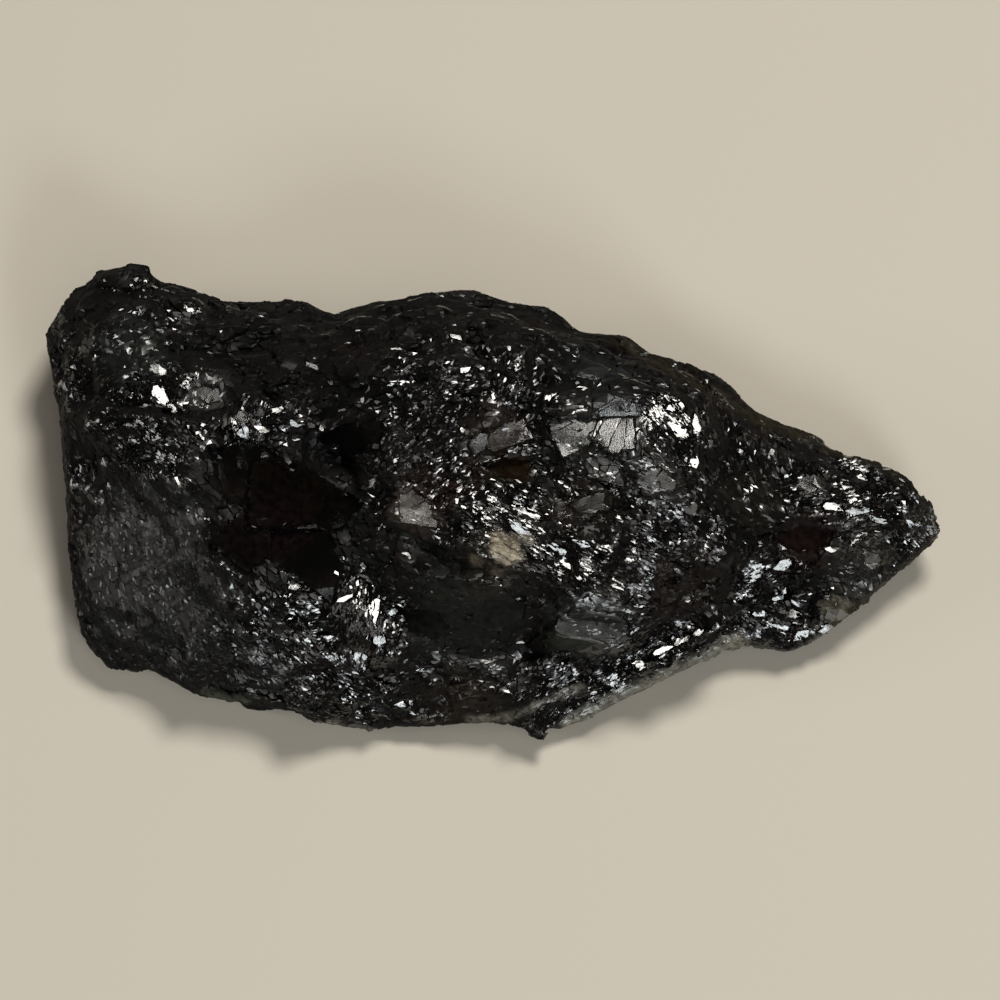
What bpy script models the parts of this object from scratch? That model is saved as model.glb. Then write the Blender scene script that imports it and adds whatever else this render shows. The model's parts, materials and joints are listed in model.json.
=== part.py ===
"""Rough black tourmaline: one broken piece of massive schorl lying on its flattest side.

The stone is surveyed like a small hill. Its rim, its crests, the feet of its ledges and a few
single corners are given in millimetres, and straight facets span them. Smaller fractures are then
broken into every face, the underside is levelled where the stone rests, and the result is thinned
to a faceted solid. Units in the tables are millimetres; the finished object is in metres.
"""

import math

import bmesh
import bpy
from mathutils import Euler, Vector, noise
from mathutils.geometry import delaunay_2d_cdt

NAME = "black_tourmaline"
MM = 0.001

# Driving dimensions.
SIGHT_ELEVATION = math.radians(66)  # the survey's line of sight, above the horizon
SIGHT_HEIGHT = 15.0  # height of the point that reads as up = 0
GRID = 0.55  # spacing of the working grid that the fractures are broken into
FACETS = 9400  # triangles in the finished solid
REST_LEVEL = 0.6  # height of the resting face in the survey
REST_SNAP = 0.06  # corners this close above the resting face belong to it
CLOSE_CORNERS = 0.00005  # metres: corners this close together become one

# Material.
SCHORL_COLOUR = (0.012, 0.012, 0.014, 1)
SCHORL_ROUGHNESS = 0.22
SCHORL_IOR = 1.64

# Each point is (across, up, height): across and up as sighted, height above the table.
# The rim is the stone's widest line, clockwise from its upper left corner.
RIM = [
    (-56, 21.5, 14), (-52.75, 26.5, 16), (-50.25, 27.5, 16), (-49, 28.5, 17), (-45, 29.25, 17),
    (-43.75, 28.75, 17), (-41.5, 27, 16), (-40, 27, 16), (-34, 25, 15), (-24, 25, 15),
    (-23, 24.75, 15), (-22.5, 24, 15.5), (-19.5, 23, 15.5), (-17.75, 24, 16), (-14.25, 25, 18),
    (-2.75, 26.25, 20), (1, 25, 19.5), (6.75, 24, 19), (8.5, 23, 18.5), (10.5, 21, 18),
    (16, 20.75, 18), (17.5, 20, 18), (19, 18.5, 18), (23, 17.5, 18), (28, 15.5, 17.5),
    (32.5, 11, 16), (34, 10.5, 16), (35.5, 9.5, 15.5), (39.5, 8.25, 15), (42, 6.5, 14.5),
    (45.5, 5, 14), (50.75, 3.5, 13), (52, 2.5, 12.5), (52.75, 1, 12), (55.5, -0.5, 11),
    (56.5, -3.25, 10.5), (56.25, -4.5, 10), (43.25, -15.5, 8), (40, -18, 6.5), (38.5, -18.75, 6),
    (36.5, -19, 6), (34, -18.25, 7), (31.25, -18, 7.5), (17.25, -24.5, 6), (11, -28, 5),
    (8.5, -28.75, 4.5), (6.75, -28.5, 4.5), (4.25, -27.25, 5.5), (1, -28, 5.5), (-0.25, -27.5, 6),
    (-11, -28.75, 5), (-12.75, -28.25, 4.5), (-14.25, -29, 4), (-15.75, -29, 4),
    (-17.5, -28.75, 4.5), (-26.5, -26, 6.5), (-36, -24.75, 7), (-37.75, -23.75, 8), (-43, -21, 8),
    (-44.5, -20.75, 7.5), (-45.5, -21.5, 7), (-48, -20.5, 7), (-50.5, -17.75, 8),
    (-51.25, -16.25, 8.5), (-52.5, -10.25, 9), (-54.5, 11, 11), (-56, 19, 13.5),
]
# Crests, and the brinks and feet of ledges and hollows.
LINES = {
    "knob_crest": [
        (-53.75, 18.25, 20.5), (-51, 22.75, 22), (-47, 25.25, 23.5), (-42.75, 24.75, 24),
        (-38.5, 23.25, 23.5), (-34.75, 21.5, 22),
    ],
    "lobe_back_edge": [
        (-47.5, 19, 25.5), (-42.75, 18.25, 27), (-38.25, 15.75, 27.5), (-33, 13.75, 26),
    ],
    "left_face_top": [
        (-53.25, 9.25, 18), (-48.5, 6.25, 21), (-42.75, 5.75, 24), (-37, 5.25, 26),
        (-34.5, -0.25, 26.5), (-32.5, -7.75, 25), (-31, -15.25, 21), (-29.5, -21.5, 14),
    ],
    "left_face_foot": [
        (-52, 3.5, 13.5), (-51, -5.25, 12), (-50.25, -12.75, 11), (-48.75, -16.75, 10),
        (-44, -19, 10.5), (-37, -22.25, 10.5),
    ],
    "central_back_crest": [
        (-21.25, 20.5, 22), (-17.5, 21.5, 25), (-11.75, 22.25, 27.5), (-5.75, 22.5, 29), (1, 22, 29.5),
        (6.75, 21, 28.5), (12, 19, 27.5), (17, 17.75, 26.5),
    ],
    "pit_rim": [
        (-23.25, 7.75, 25.5), (-19, 8.5, 26), (-15, 6.25, 27), (-14.25, 1.75, 25.5),
    ],
    "pit_floor": [
        (-21.25, 5, 20), (-18.25, 4, 18.5), (-16.5, 2.5, 20),
    ],
    "block_front_ledge": [
        (6, 9.25, 33), (12, 10, 33.4), (14, 12, 33.2), (18.5, 12.5, 33), (22.5, 13.25, 32.5),
    ],
    "block_ledge_foot": [
        (5.75, 8.25, 31), (11.5, 8.75, 31.4), (15, 10.75, 31.6), (18.75, 11.25, 32.2),
    ],
    "block_right_edge": [
        (24.75, 12.25, 31.5), (26.5, 9, 31), (26, 4.5, 29.5),
    ],
    "block_right_foot": [
        (27.75, 12.75, 26), (29, 8.5, 25), (28.5, 3.5, 24.5),
    ],
    "centre_front_edge": [
        (-11.75, -9.25, 24), (-6.5, -10.25, 23.6), (-0.75, -11.25, 23.5), (4, -10.75, 23.8),
        (8.5, -11.5, 23.5), (14, -11.25, 22.8), (19.75, -12.25, 21),
    ],
    "band_foot": [
        (-11, -13.5, 18), (-5.75, -17, 15), (0.5, -18.75, 14), (5.5, -19.25, 13.6),
    ],
    "grey_facet_front": [
        (7, -20.25, 13.5), (13.5, -20, 13.4), (19.75, -17, 15.5),
    ],
    "front_left_crest": [
        (-28, -12.75, 21), (-24, -10.25, 21.5), (-18.5, -9.5, 21.5), (-13.5, -10, 21),
    ],
    "front_left_foot": [
        (-26.25, -21.25, 15), (-20.25, -20.75, 15), (-15, -21.25, 14.5), (-10, -20, 14.5),
    ],
    "wing_crest": [
        (33.5, 2.75, 22), (38.5, 2, 21.5), (44.25, 0.25, 19.8), (49.75, -1, 17), (54, -2.5, 13),
    ],
    "recess_back": [
        (35.5, -3, 19.8), (41, -2.75, 19.2), (45.75, -3.25, 17.5),
    ],
    "recess_floor": [
        (36.5, -4.75, 16.6), (41.5, -4.75, 16), (45, -4.5, 15.8),
    ],
    "recess_front": [
        (36.25, -7.25, 16.8), (41.75, -6.75, 15.6), (46.25, -5.75, 15.2),
    ],
    "rib_crest": [
        (8.5, -26, 9.5), (14.25, -23.25, 12), (20.5, -19.75, 13.8), (26.5, -17, 14.8),
        (31, -14.5, 13),
    ],
    "rib_groove": [
        (4.75, -24.5, 8.8), (9.75, -23, 10.2), (15.5, -20.75, 11.6), (21.5, -18, 13),
    ],
    "hollow_back": [
        (31.5, -9.25, 18), (35.5, -8, 17.6), (38.5, -9, 14.6),
    ],
    "hollow_floor": [
        (35, -12.25, 11), (38.5, -13.5, 9.6), (41.25, -14.5, 8.8),
    ],
}
# Corners of facets between those lines.
SPOTS = {
    "left_lobe": [
        (-53.5, 14.75, 20.5), (-49.5, 14.25, 24), (-44.25, 13.25, 26.5), (-39.5, 10.75, 27.5),
        (-47, 9.75, 23.5), (-35.25, 8.75, 27),
    ],
    "left_face": [
        (-46.5, -0.25, 18.5), (-42.75, -7.75, 18), (-46.5, -11.5, 14.5), (-39, -14, 18),
        (-42.75, -15.75, 13.5), (-35, -17.75, 16.5), (-37.75, -2.75, 23.5),
    ],
    "left_toe": [
        (-49, -18.75, 8.4), (-46, -20.25, 8), (-41.5, -20.25, 9.4),
    ],
    "saddle": [
        (-30.25, 22, 20), (-25.25, 22, 20), (-30, 18.5, 23), (-24, 17.75, 24), (-28, 14.25, 25.5),
        (-22, 13.25, 25.5),
    ],
    "bright_knob": [
        (-31, 9.25, 27.2), (-28.75, 11.75, 27.4), (-24.5, 11, 27), (-24.25, 8.5, 26.6),
        (-29.5, 6.5, 25),
    ],
    "dark_face": [
        (-31.5, 2.25, 25.5), (-27.75, -0.25, 24), (-22.5, -0.25, 22.5), (-17.5, -1, 23),
        (-28.75, -6.25, 23), (-23.25, -6.25, 20.5), (-17, -6.25, 21.5), (-20.25, -3.25, 21),
    ],
    "centre_left": [
        (-18.25, 15.25, 29), (-17.5, 11.75, 29), (-13.25, 17.25, 30.5), (-12, 11, 30.8),
        (-10.25, 6, 30.2), (-11, 1.5, 28.5), (-12.25, -2.75, 26), (-11.5, -6.25, 24.8),
    ],
    "centre_top": [
        (-6.5, 18.25, 32), (-1, 17.25, 33), (-6.5, 12.25, 32.8), (-0.5, 11.75, 33.2),
        (3.75, 14.25, 33), (-5, 7.25, 32), (1, 7.25, 32.2),
    ],
    "block_top": [
        (8.5, 15.5, 31.6), (13.5, 16.5, 31), (9.25, 12.25, 33), (18.5, 15.5, 30.2), (22, 14.75, 30.5),
        (21, 9.75, 32.4), (16, 7.25, 31.8), (8.5, 5.75, 31.2), (18.5, 4.5, 30), (23, 5.75, 30.8),
        (13.5, 3.5, 29.6),
    ],
    "brown_pocket": [
        (1, 4, 29.2), (4, 2.75, 28.8), (-1.5, 1.75, 29.2),
    ],
    "centre_front": [
        (-7.75, 1, 28.4), (-8.5, -2.75, 26), (-5, -1.5, 28), (-2.75, -5.25, 26.2), (1, -2.75, 28),
        (2, -6.75, 25.5), (6, -1.5, 28.6), (8, -5.25, 26.8), (12.25, -0.25, 28.8), (13.5, -5.25, 26),
        (19, -0.25, 27.6), (21, -5.25, 25), (-4, -8, 24.6), (6, -8.75, 24.6), (24.75, -0.25, 25.4),
    ],
    "valley": [
        (30.5, 2.25, 22.4), (31.25, -2.75, 21.4), (27.5, -5.25, 22.4), (26, -9.75, 20), (31, 9.75, 24),
        (31, -7.25, 20.2),
    ],
    "wing_back": [
        (24.75, 14.75, 25), (29.25, 11.75, 22.5), (34.5, 8.25, 20.5), (39.25, 6.25, 19.5),
        (44.25, 3.5, 17.6), (49.25, 1.75, 15.5), (37.25, 4.5, 21.6), (52.75, -0.75, 13.2),
    ],
    "wing_front": [
        (48.5, -4, 15.4), (51.75, -5, 12.6), (47.25, -7.75, 13.2), (43.5, -9.5, 12.4),
        (44.25, -12.5, 10.6), (49, -6.75, 13),
    ],
    "grey_facet": [
        (7, -14, 20.4), (13.5, -13.5, 20.8), (19, -14.75, 19), (8.5, -17.25, 16.6), (16, -17.75, 16.4),
    ],
    "rib_back": [
        (24.75, -12.75, 18.4), (29, -12, 17.6), (22, -14.5, 17),
    ],
    "rib_front": [
        (13.5, -25, 8.4), (19.75, -21.5, 9.2), (26, -18.75, 9.8), (8, -27.75, 6.5),
    ],
    "front_left": [
        (-22.75, -14.25, 20), (-17.75, -14, 19.8), (-12.5, -13.25, 19.6), (-20.25, -18, 17.6),
        (-14.5, -17.75, 17.6), (-25.25, -16.75, 18.6), (-9, -17.25, 16),
    ],
    "front_toe": [
        (-24, -24.5, 10.4), (-19, -25.5, 8.6), (-15, -26, 7.4), (-12.5, -24.5, 9),
        (-20.25, -23.25, 11.8), (-28, -24, 10.4), (-17.5, -27.75, 6),
    ],
    "front_right": [
        (-8, -21.25, 12), (-2.75, -21.75, 11.4), (2.5, -22.25, 11), (-6.5, -25.25, 8.4),
        (-1, -25.5, 8), (3, -25.75, 7.4),
    ],
    "ledge_lobe": [
        (34, -13.5, 13), (37.25, -16, 9.4), (34, -16.5, 10), (39.5, -16.75, 8.4),
    ],
}

# The wall under the rim: each ring's share of the rim's height, and how far it stands out from the
# rim for each millimetre below it, on the side that faces the sight line and on the far side.
WALL_RINGS = [
    (0.70, -0.30, 0.34),
    (0.36, -0.42, 0.26),
    (0.00, -0.85, -0.02),
]
RIM_SMOOTHING = 3  # how many points away, on both sides, a rim point's outward direction is read

# Fractures, coarse to fine: cell size along the grain, across it and through it, and the step height
# and slope of the broken facets.
FRACTURES = [
    {"cell": (16.0, 10.0, 11.0), "step": 0.9, "slope": 0.17, "seed": 3.7},
    {"cell": (8.5, 4.8, 5.5), "step": 0.7, "slope": 0.24, "seed": 11.3},
    {"cell": (4.4, 2.6, 3.0), "step": 0.5, "slope": 0.3, "seed": 31.1},
]
LIFT_KEY = 7.3  # spreads the cell centres for the random lift of a facet
LEAN_KEY = 5.1  # and for its random lean
# The grain runs down to the right along the stone, and up to the right along its front rib.
GRAIN = Euler((math.radians(12), math.radians(-8), math.radians(-24))).to_quaternion()
RIB_GRAIN = Euler((math.radians(-10), math.radians(-6), math.radians(27))).to_quaternion()
RIB_SIDE = (Vector((4, -31, 0)), Vector((34, -19, 0)))  # in front of this line lies the rib's grain
# Faces that broke smoother: middle across, middle up, height, radius, share of the fractures left.
SMOOTHER = [
    (-44, -7, 16, 13, 0.55),
    (-23, -3, 22, 7, 0.2),
    (-24, 17, 24, 6, 0.45),
    (9, 11, 32.5, 5, 0.3),
    (19, 9, 31.5, 7, 0.3),
    (14, -16, 18, 7, 0.25),
    (-3, -15, 18, 6, 0.4),
    (-48, 23, 22, 5, 0.5),
    (33, -4, 20, 6, 0.5),
]
SMOOTHER_REACH = 1.35  # radii at which a smoother face has faded out; it is whole within half of this
EDGE_ON = 0.42  # below this cosine to the line of sight a face keeps its surveyed place


def clear_scene():
    """Remove whatever the file holds."""
    for item in list(bpy.data.objects):
        bpy.data.objects.remove(item)


def plan_point(across, up, height):
    """The place of a sighted point, in millimetres."""
    drop = (height - SIGHT_HEIGHT) * math.cos(SIGHT_ELEVATION)
    return Vector((across, (up - drop) / math.sin(SIGHT_ELEVATION), height))


def survey():
    """All surveyed points and the index pairs of the lines that join them, the rim first."""
    points = [plan_point(*point) for point in RIM]
    count = len(points)
    joined = [(i, (i + 1) % count) for i in range(count)]
    for line in LINES.values():
        start = len(points)
        points += [plan_point(*point) for point in line]
        joined += [(i, i + 1) for i in range(start, len(points) - 1)]
    for corners in SPOTS.values():
        points += [plan_point(*point) for point in corners]
    return points, joined


def top_facets(points, joined):
    """Triangles between the surveyed points, inside the rim."""
    flat = [point.to_2d() for point in points]
    rim = list(range(len(RIM)))
    keep_inside = 1
    found, _, faces, sources, _, _ = delaunay_2d_cdt(flat, joined, [rim], keep_inside, 1e-4)
    if len(found) != len(points):
        raise RuntimeError("two surveyed lines cross, or a point lies outside the rim")
    return [[sources[corner][0] for corner in face] for face in faces]


def outward(rim, index):
    """The level direction that leads out of the stone at a rim point."""
    count = len(rim)
    before = rim[(index - RIM_SMOOTHING) % count]
    after = rim[(index + RIM_SMOOTHING) % count]
    along = after - before
    return Vector((-along.y, along.x, 0)).normalized()


def wall_ring(rim, share, near_lean, far_lean):
    """A ring of points below the rim, leaning in on the near side and out on the far side."""
    ring = []
    for index, point in enumerate(rim):
        out = outward(rim, index)
        drop = point.z * (1 - share)
        lean = near_lean + (far_lean - near_lean) * (out.y + 1) / 2
        place = point + out * lean * drop
        place.z = point.z * share
        ring.append(place)
    return ring


def coarse_block():
    """The closed stone made of the surveyed facets, the wall under the rim and a flat base."""
    points, joined = survey()
    built = bmesh.new()
    corners = [built.verts.new(point) for point in points]
    for face in top_facets(points, joined):
        built.faces.new([corners[i] for i in face])
    rim = points[: len(RIM)]
    upper = corners[: len(RIM)]
    for share, near_lean, far_lean in WALL_RINGS:
        lower = [built.verts.new(p) for p in wall_ring(rim, share, near_lean, far_lean)]
        for i in range(len(upper)):
            j = (i + 1) % len(upper)
            built.faces.new([upper[i], upper[j], lower[j], lower[i]])
        upper = lower
    built.faces.new(upper)
    bmesh.ops.recalc_face_normals(built, faces=built.faces)
    mesh = bpy.data.meshes.new(NAME)
    built.to_mesh(mesh)
    built.free()
    return mesh


def with_modifier(mesh, kind, **settings):
    """The mesh after one modifier."""
    carrier = bpy.data.objects.new("carrier", mesh)
    bpy.context.scene.collection.objects.link(carrier)
    modifier = carrier.modifiers.new(kind.title(), kind)
    for key, value in settings.items():
        setattr(modifier, key, value)
    graph = bpy.context.evaluated_depsgraph_get()
    made = bpy.data.meshes.new_from_object(carrier.evaluated_get(graph))
    bpy.data.objects.remove(carrier)
    return made


def broken_offset(place, fracture):
    """How far the facet of the fracture cell at this place stands out of the face it is in."""
    cell = Vector(fracture["cell"])
    scaled = Vector((place.x / cell.x, place.y / cell.y, place.z / cell.z))
    scaled += Vector((1, 1, 1)) * fracture["seed"]
    _, centres = noise.voronoi(scaled)
    centre = centres[0]
    lift = noise.cell(centre * LIFT_KEY) - 0.5
    lean = noise.cell_vector(centre * LEAN_KEY) - Vector((0.5, 0.5, 0.5))
    away = scaled - centre
    away = Vector((away.x * cell.x, away.y * cell.y, away.z * cell.z))
    return fracture["step"] * lift + 2 * fracture["slope"] * lean.dot(away)


def along_grain(place):
    """The place in axes that follow the grain there."""
    start, end = RIB_SIDE
    side = (end - start).cross(place - start).z
    grain = RIB_GRAIN if side < 0 else GRAIN
    return grain.inverted() @ place


def roughness(place):
    """The share of the fractures that a place takes, less in the smoother faces."""
    share = 1.0
    for across, up, height, radius, left in SMOOTHER:
        away = (place - plan_point(across, up, height)).length / radius
        fade = max(0.0, min(1.0, 2 - 2 * away / SMOOTHER_REACH))
        share = min(share, 1 + (left - 1) * fade)
    return share


def break_faces(mesh):
    """Move each vertex along its normal by the fractures that cross it."""
    sight = Vector((0, -math.cos(SIGHT_ELEVATION), math.sin(SIGHT_ELEVATION)))
    moves = []
    for vertex in mesh.vertices:
        facing = min(1.0, abs(vertex.normal.dot(sight)) / EDGE_ON)
        weight = facing * facing * (3 - 2 * facing) * roughness(vertex.co)
        place = along_grain(vertex.co)
        offset = sum(broken_offset(place, fracture) for fracture in FRACTURES)
        moves.append(vertex.normal * offset * weight)
    for vertex, move in zip(mesh.vertices, moves):
        vertex.co += move


def flatten_underside(mesh):
    """Level everything that reaches lower than the resting face."""
    for vertex in mesh.vertices:
        vertex.co.z = max(vertex.co.z, REST_LEVEL)


def thin_out(mesh):
    """Merge the working grid into large facets, and keep the resting face level."""
    mesh = with_modifier(mesh, "TRIANGULATE")
    mesh = with_modifier(mesh, "DECIMATE", ratio=FACETS / len(mesh.polygons))
    for vertex in mesh.vertices:
        if vertex.co.z < REST_LEVEL + REST_SNAP:
            vertex.co.z = REST_LEVEL
    return mesh


def keep_largest(mesh):
    """Drop the crumbs that are no longer joined to the stone."""
    built = bmesh.new()
    built.from_mesh(mesh)
    unvisited = set(built.verts)
    bodies = []
    while unvisited:
        body = [unvisited.pop()]
        for corner in body:
            found = [edge.other_vert(corner) for edge in corner.link_edges]
            fresh = unvisited.intersection(found)
            body.extend(fresh)
            unvisited -= fresh
        bodies.append(body)
    bodies.sort(key=len)
    crumbs = [corner for body in bodies[:-1] for corner in body]
    bmesh.ops.delete(built, geom=crumbs, context="VERTS")
    built.to_mesh(mesh)
    built.free()


def centre_on_base(mesh):
    """Put the origin at the middle of the stone's base, and turn millimetres into metres."""
    low = Vector(min(v.co[axis] for v in mesh.vertices) for axis in range(3))
    high = Vector(max(v.co[axis] for v in mesh.vertices) for axis in range(3))
    middle = (low + high) / 2
    for vertex in mesh.vertices:
        vertex.co = (vertex.co - Vector((middle.x, middle.y, low.z))) * MM


def join_close_corners(mesh):
    """Close the facets that are too narrow to see."""
    built = bmesh.new()
    built.from_mesh(mesh)
    bmesh.ops.remove_doubles(built, verts=built.verts, dist=CLOSE_CORNERS)
    bmesh.ops.dissolve_degenerate(built, edges=built.edges, dist=CLOSE_CORNERS)
    bmesh.ops.triangulate(built, faces=built.faces)
    bmesh.ops.recalc_face_normals(built, faces=built.faces)
    built.to_mesh(mesh)
    built.free()


def schorl():
    """Glassy, nearly black tourmaline."""
    material = bpy.data.materials.new("schorl")
    material.use_nodes = True
    shader = material.node_tree.nodes["Principled BSDF"]
    shader.inputs["Base Color"].default_value = SCHORL_COLOUR
    shader.inputs["Roughness"].default_value = SCHORL_ROUGHNESS
    shader.inputs["IOR"].default_value = SCHORL_IOR
    shader.inputs["Metallic"].default_value = 0.0
    return material


def main():
    clear_scene()
    mesh = with_modifier(coarse_block(), "REMESH", mode="VOXEL", voxel_size=GRID)
    break_faces(mesh)
    mesh = with_modifier(mesh, "REMESH", mode="VOXEL", voxel_size=GRID)
    flatten_underside(mesh)
    mesh = thin_out(mesh)
    centre_on_base(mesh)
    join_close_corners(mesh)
    keep_largest(mesh)
    mesh.name = NAME
    mesh.materials.append(schorl())
    stone = bpy.data.objects.new(NAME, mesh)
    bpy.context.scene.collection.objects.link(stone)


main()
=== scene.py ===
"""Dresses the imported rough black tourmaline: broken faces, splinters, colours and a stage."""

import json
import math

import bmesh
import bpy
import numpy as np
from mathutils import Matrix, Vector
from mathutils.bvhtree import BVHTree

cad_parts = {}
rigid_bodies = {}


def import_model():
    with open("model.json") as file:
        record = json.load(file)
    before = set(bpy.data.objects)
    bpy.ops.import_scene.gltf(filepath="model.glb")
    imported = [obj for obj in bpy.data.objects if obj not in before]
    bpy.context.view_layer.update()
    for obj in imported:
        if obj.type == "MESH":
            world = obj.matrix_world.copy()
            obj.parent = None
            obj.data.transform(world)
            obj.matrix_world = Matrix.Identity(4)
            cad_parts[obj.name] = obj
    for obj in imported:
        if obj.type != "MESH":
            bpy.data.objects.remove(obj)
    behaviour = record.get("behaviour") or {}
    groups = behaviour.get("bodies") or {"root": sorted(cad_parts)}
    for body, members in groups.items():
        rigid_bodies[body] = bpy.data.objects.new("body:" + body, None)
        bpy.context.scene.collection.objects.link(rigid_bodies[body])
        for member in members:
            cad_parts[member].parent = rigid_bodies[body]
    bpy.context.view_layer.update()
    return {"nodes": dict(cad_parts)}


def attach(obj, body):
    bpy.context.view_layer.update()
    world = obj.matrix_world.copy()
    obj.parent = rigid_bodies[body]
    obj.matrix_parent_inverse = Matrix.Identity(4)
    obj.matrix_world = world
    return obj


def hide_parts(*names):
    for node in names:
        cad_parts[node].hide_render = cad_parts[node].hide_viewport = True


bl_info = {
    "name": "Rough Black Tourmaline",
    "version": (1, 0, 0),
    "blender": (4, 5, 0),
    "location": "View3D > Sidebar > Tourmaline",
    "description": "Breaks, splinters and colours a chunk of massive schorl and lights it",
    "category": "Object",
}

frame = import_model()

MM = 0.001
NODE = "black_tourmaline"
STONE = "broken_stone"
BODY = "root"

# The line of sight that the zones are written in, and its three axes.
SIGHT_ELEVATION = math.radians(66)
ACROSS = np.array((1.0, 0.0, 0.0))
UPWARD = np.array((0.0, math.sin(SIGHT_ELEVATION), math.cos(SIGHT_ELEVATION)))
TOWARDS = np.array((0.0, -math.cos(SIGHT_ELEVATION), math.sin(SIGHT_ELEVATION)))
CENTRE = np.array((0.94, 2.475, 10.0))  # what the eye looks at: across, up and towards, in mm
FRAME_WIDTH = 125.0  # millimetres of the stone's length that fill the frame
LENS = 250.0
SENSOR = 36.0

# Lamps: direction, distance and diameter in metres, share of the power, colour.
LAMPS = {
    "key": ((0.2, 0.27, 0.94), 0.9, 0.26, 1.0, (1.0, 0.97, 0.9)),
    "sheen": ((0.12, -0.5, 0.86), 1.2, 0.7, 0.42, (1.0, 0.97, 0.91)),
    "left": ((-0.85, -0.1, 0.5), 0.9, 0.2, 0.17, (1.0, 0.98, 0.95)),
    "front": ((0.28, -0.74, 0.6), 0.9, 0.22, 0.45, (0.94, 0.99, 1.0)),
}
GLINT_LAMPS = ("key", "left", "front")
KEY_LEANING = 0.12  # how much rather a face turns to the main light than to another

# Slopes to the right and back of the faces that reflect neither the floor nor a lamp: the least and
# the most of them, their spacing, and how many degrees off a lamp's own facing its glare shows.
DARK_LEAST = np.array((-1.1, -1.3))
DARK_MOST = np.array((0.8, 0.5))
DARK_SPACING = 0.05
GLARE = 10.0

CLUMPED = (0.9, 1.0, 1.4)  # share of glints kept on average, its spread and its most
# Faces turned away: minus their cosine to the eye, or for SIDEWAYS to the sky, where each starts to
# count, and how much more makes it whole. BEARING, for small forms, is the plain cosine to the eye.
HIDDEN = (-0.15, 0.3)
STEEP = (-0.8, 0.4)
SIDEWAYS = (-0.72, 0.2)
BEARING = (0.3, 0.3)
# Heights over the floor where the fractures and the small forms start, and their fading in.
FRACTURED = (0, 1.5 * MM)
DRESSED = (2.7 * MM, 2 * MM)
STEEPEST_LEAN = 0.45  # slope by which a facet leans out of the surface, at most
STEEPEST_FLAKE = 0.7  # and a flake or a splinter
LEAST_UPRIGHT = 0.35  # cosine below which a facet's lean is no longer followed
# Faces that look this far to the back, and by how much more to be wholly so, show no glints.
BACK_FROM = 0.2
BACK_SPREAD = 0.3

# Irregular ripples: how many waves, how much finer and lower each is than the one before it, and
# about their highest sum.
RIPPLE_WAVES = 5
RIPPLE_FINER = 0.6
RIPPLE_LOWER = 0.4
RIPPLE_SUM = 3.2

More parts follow.
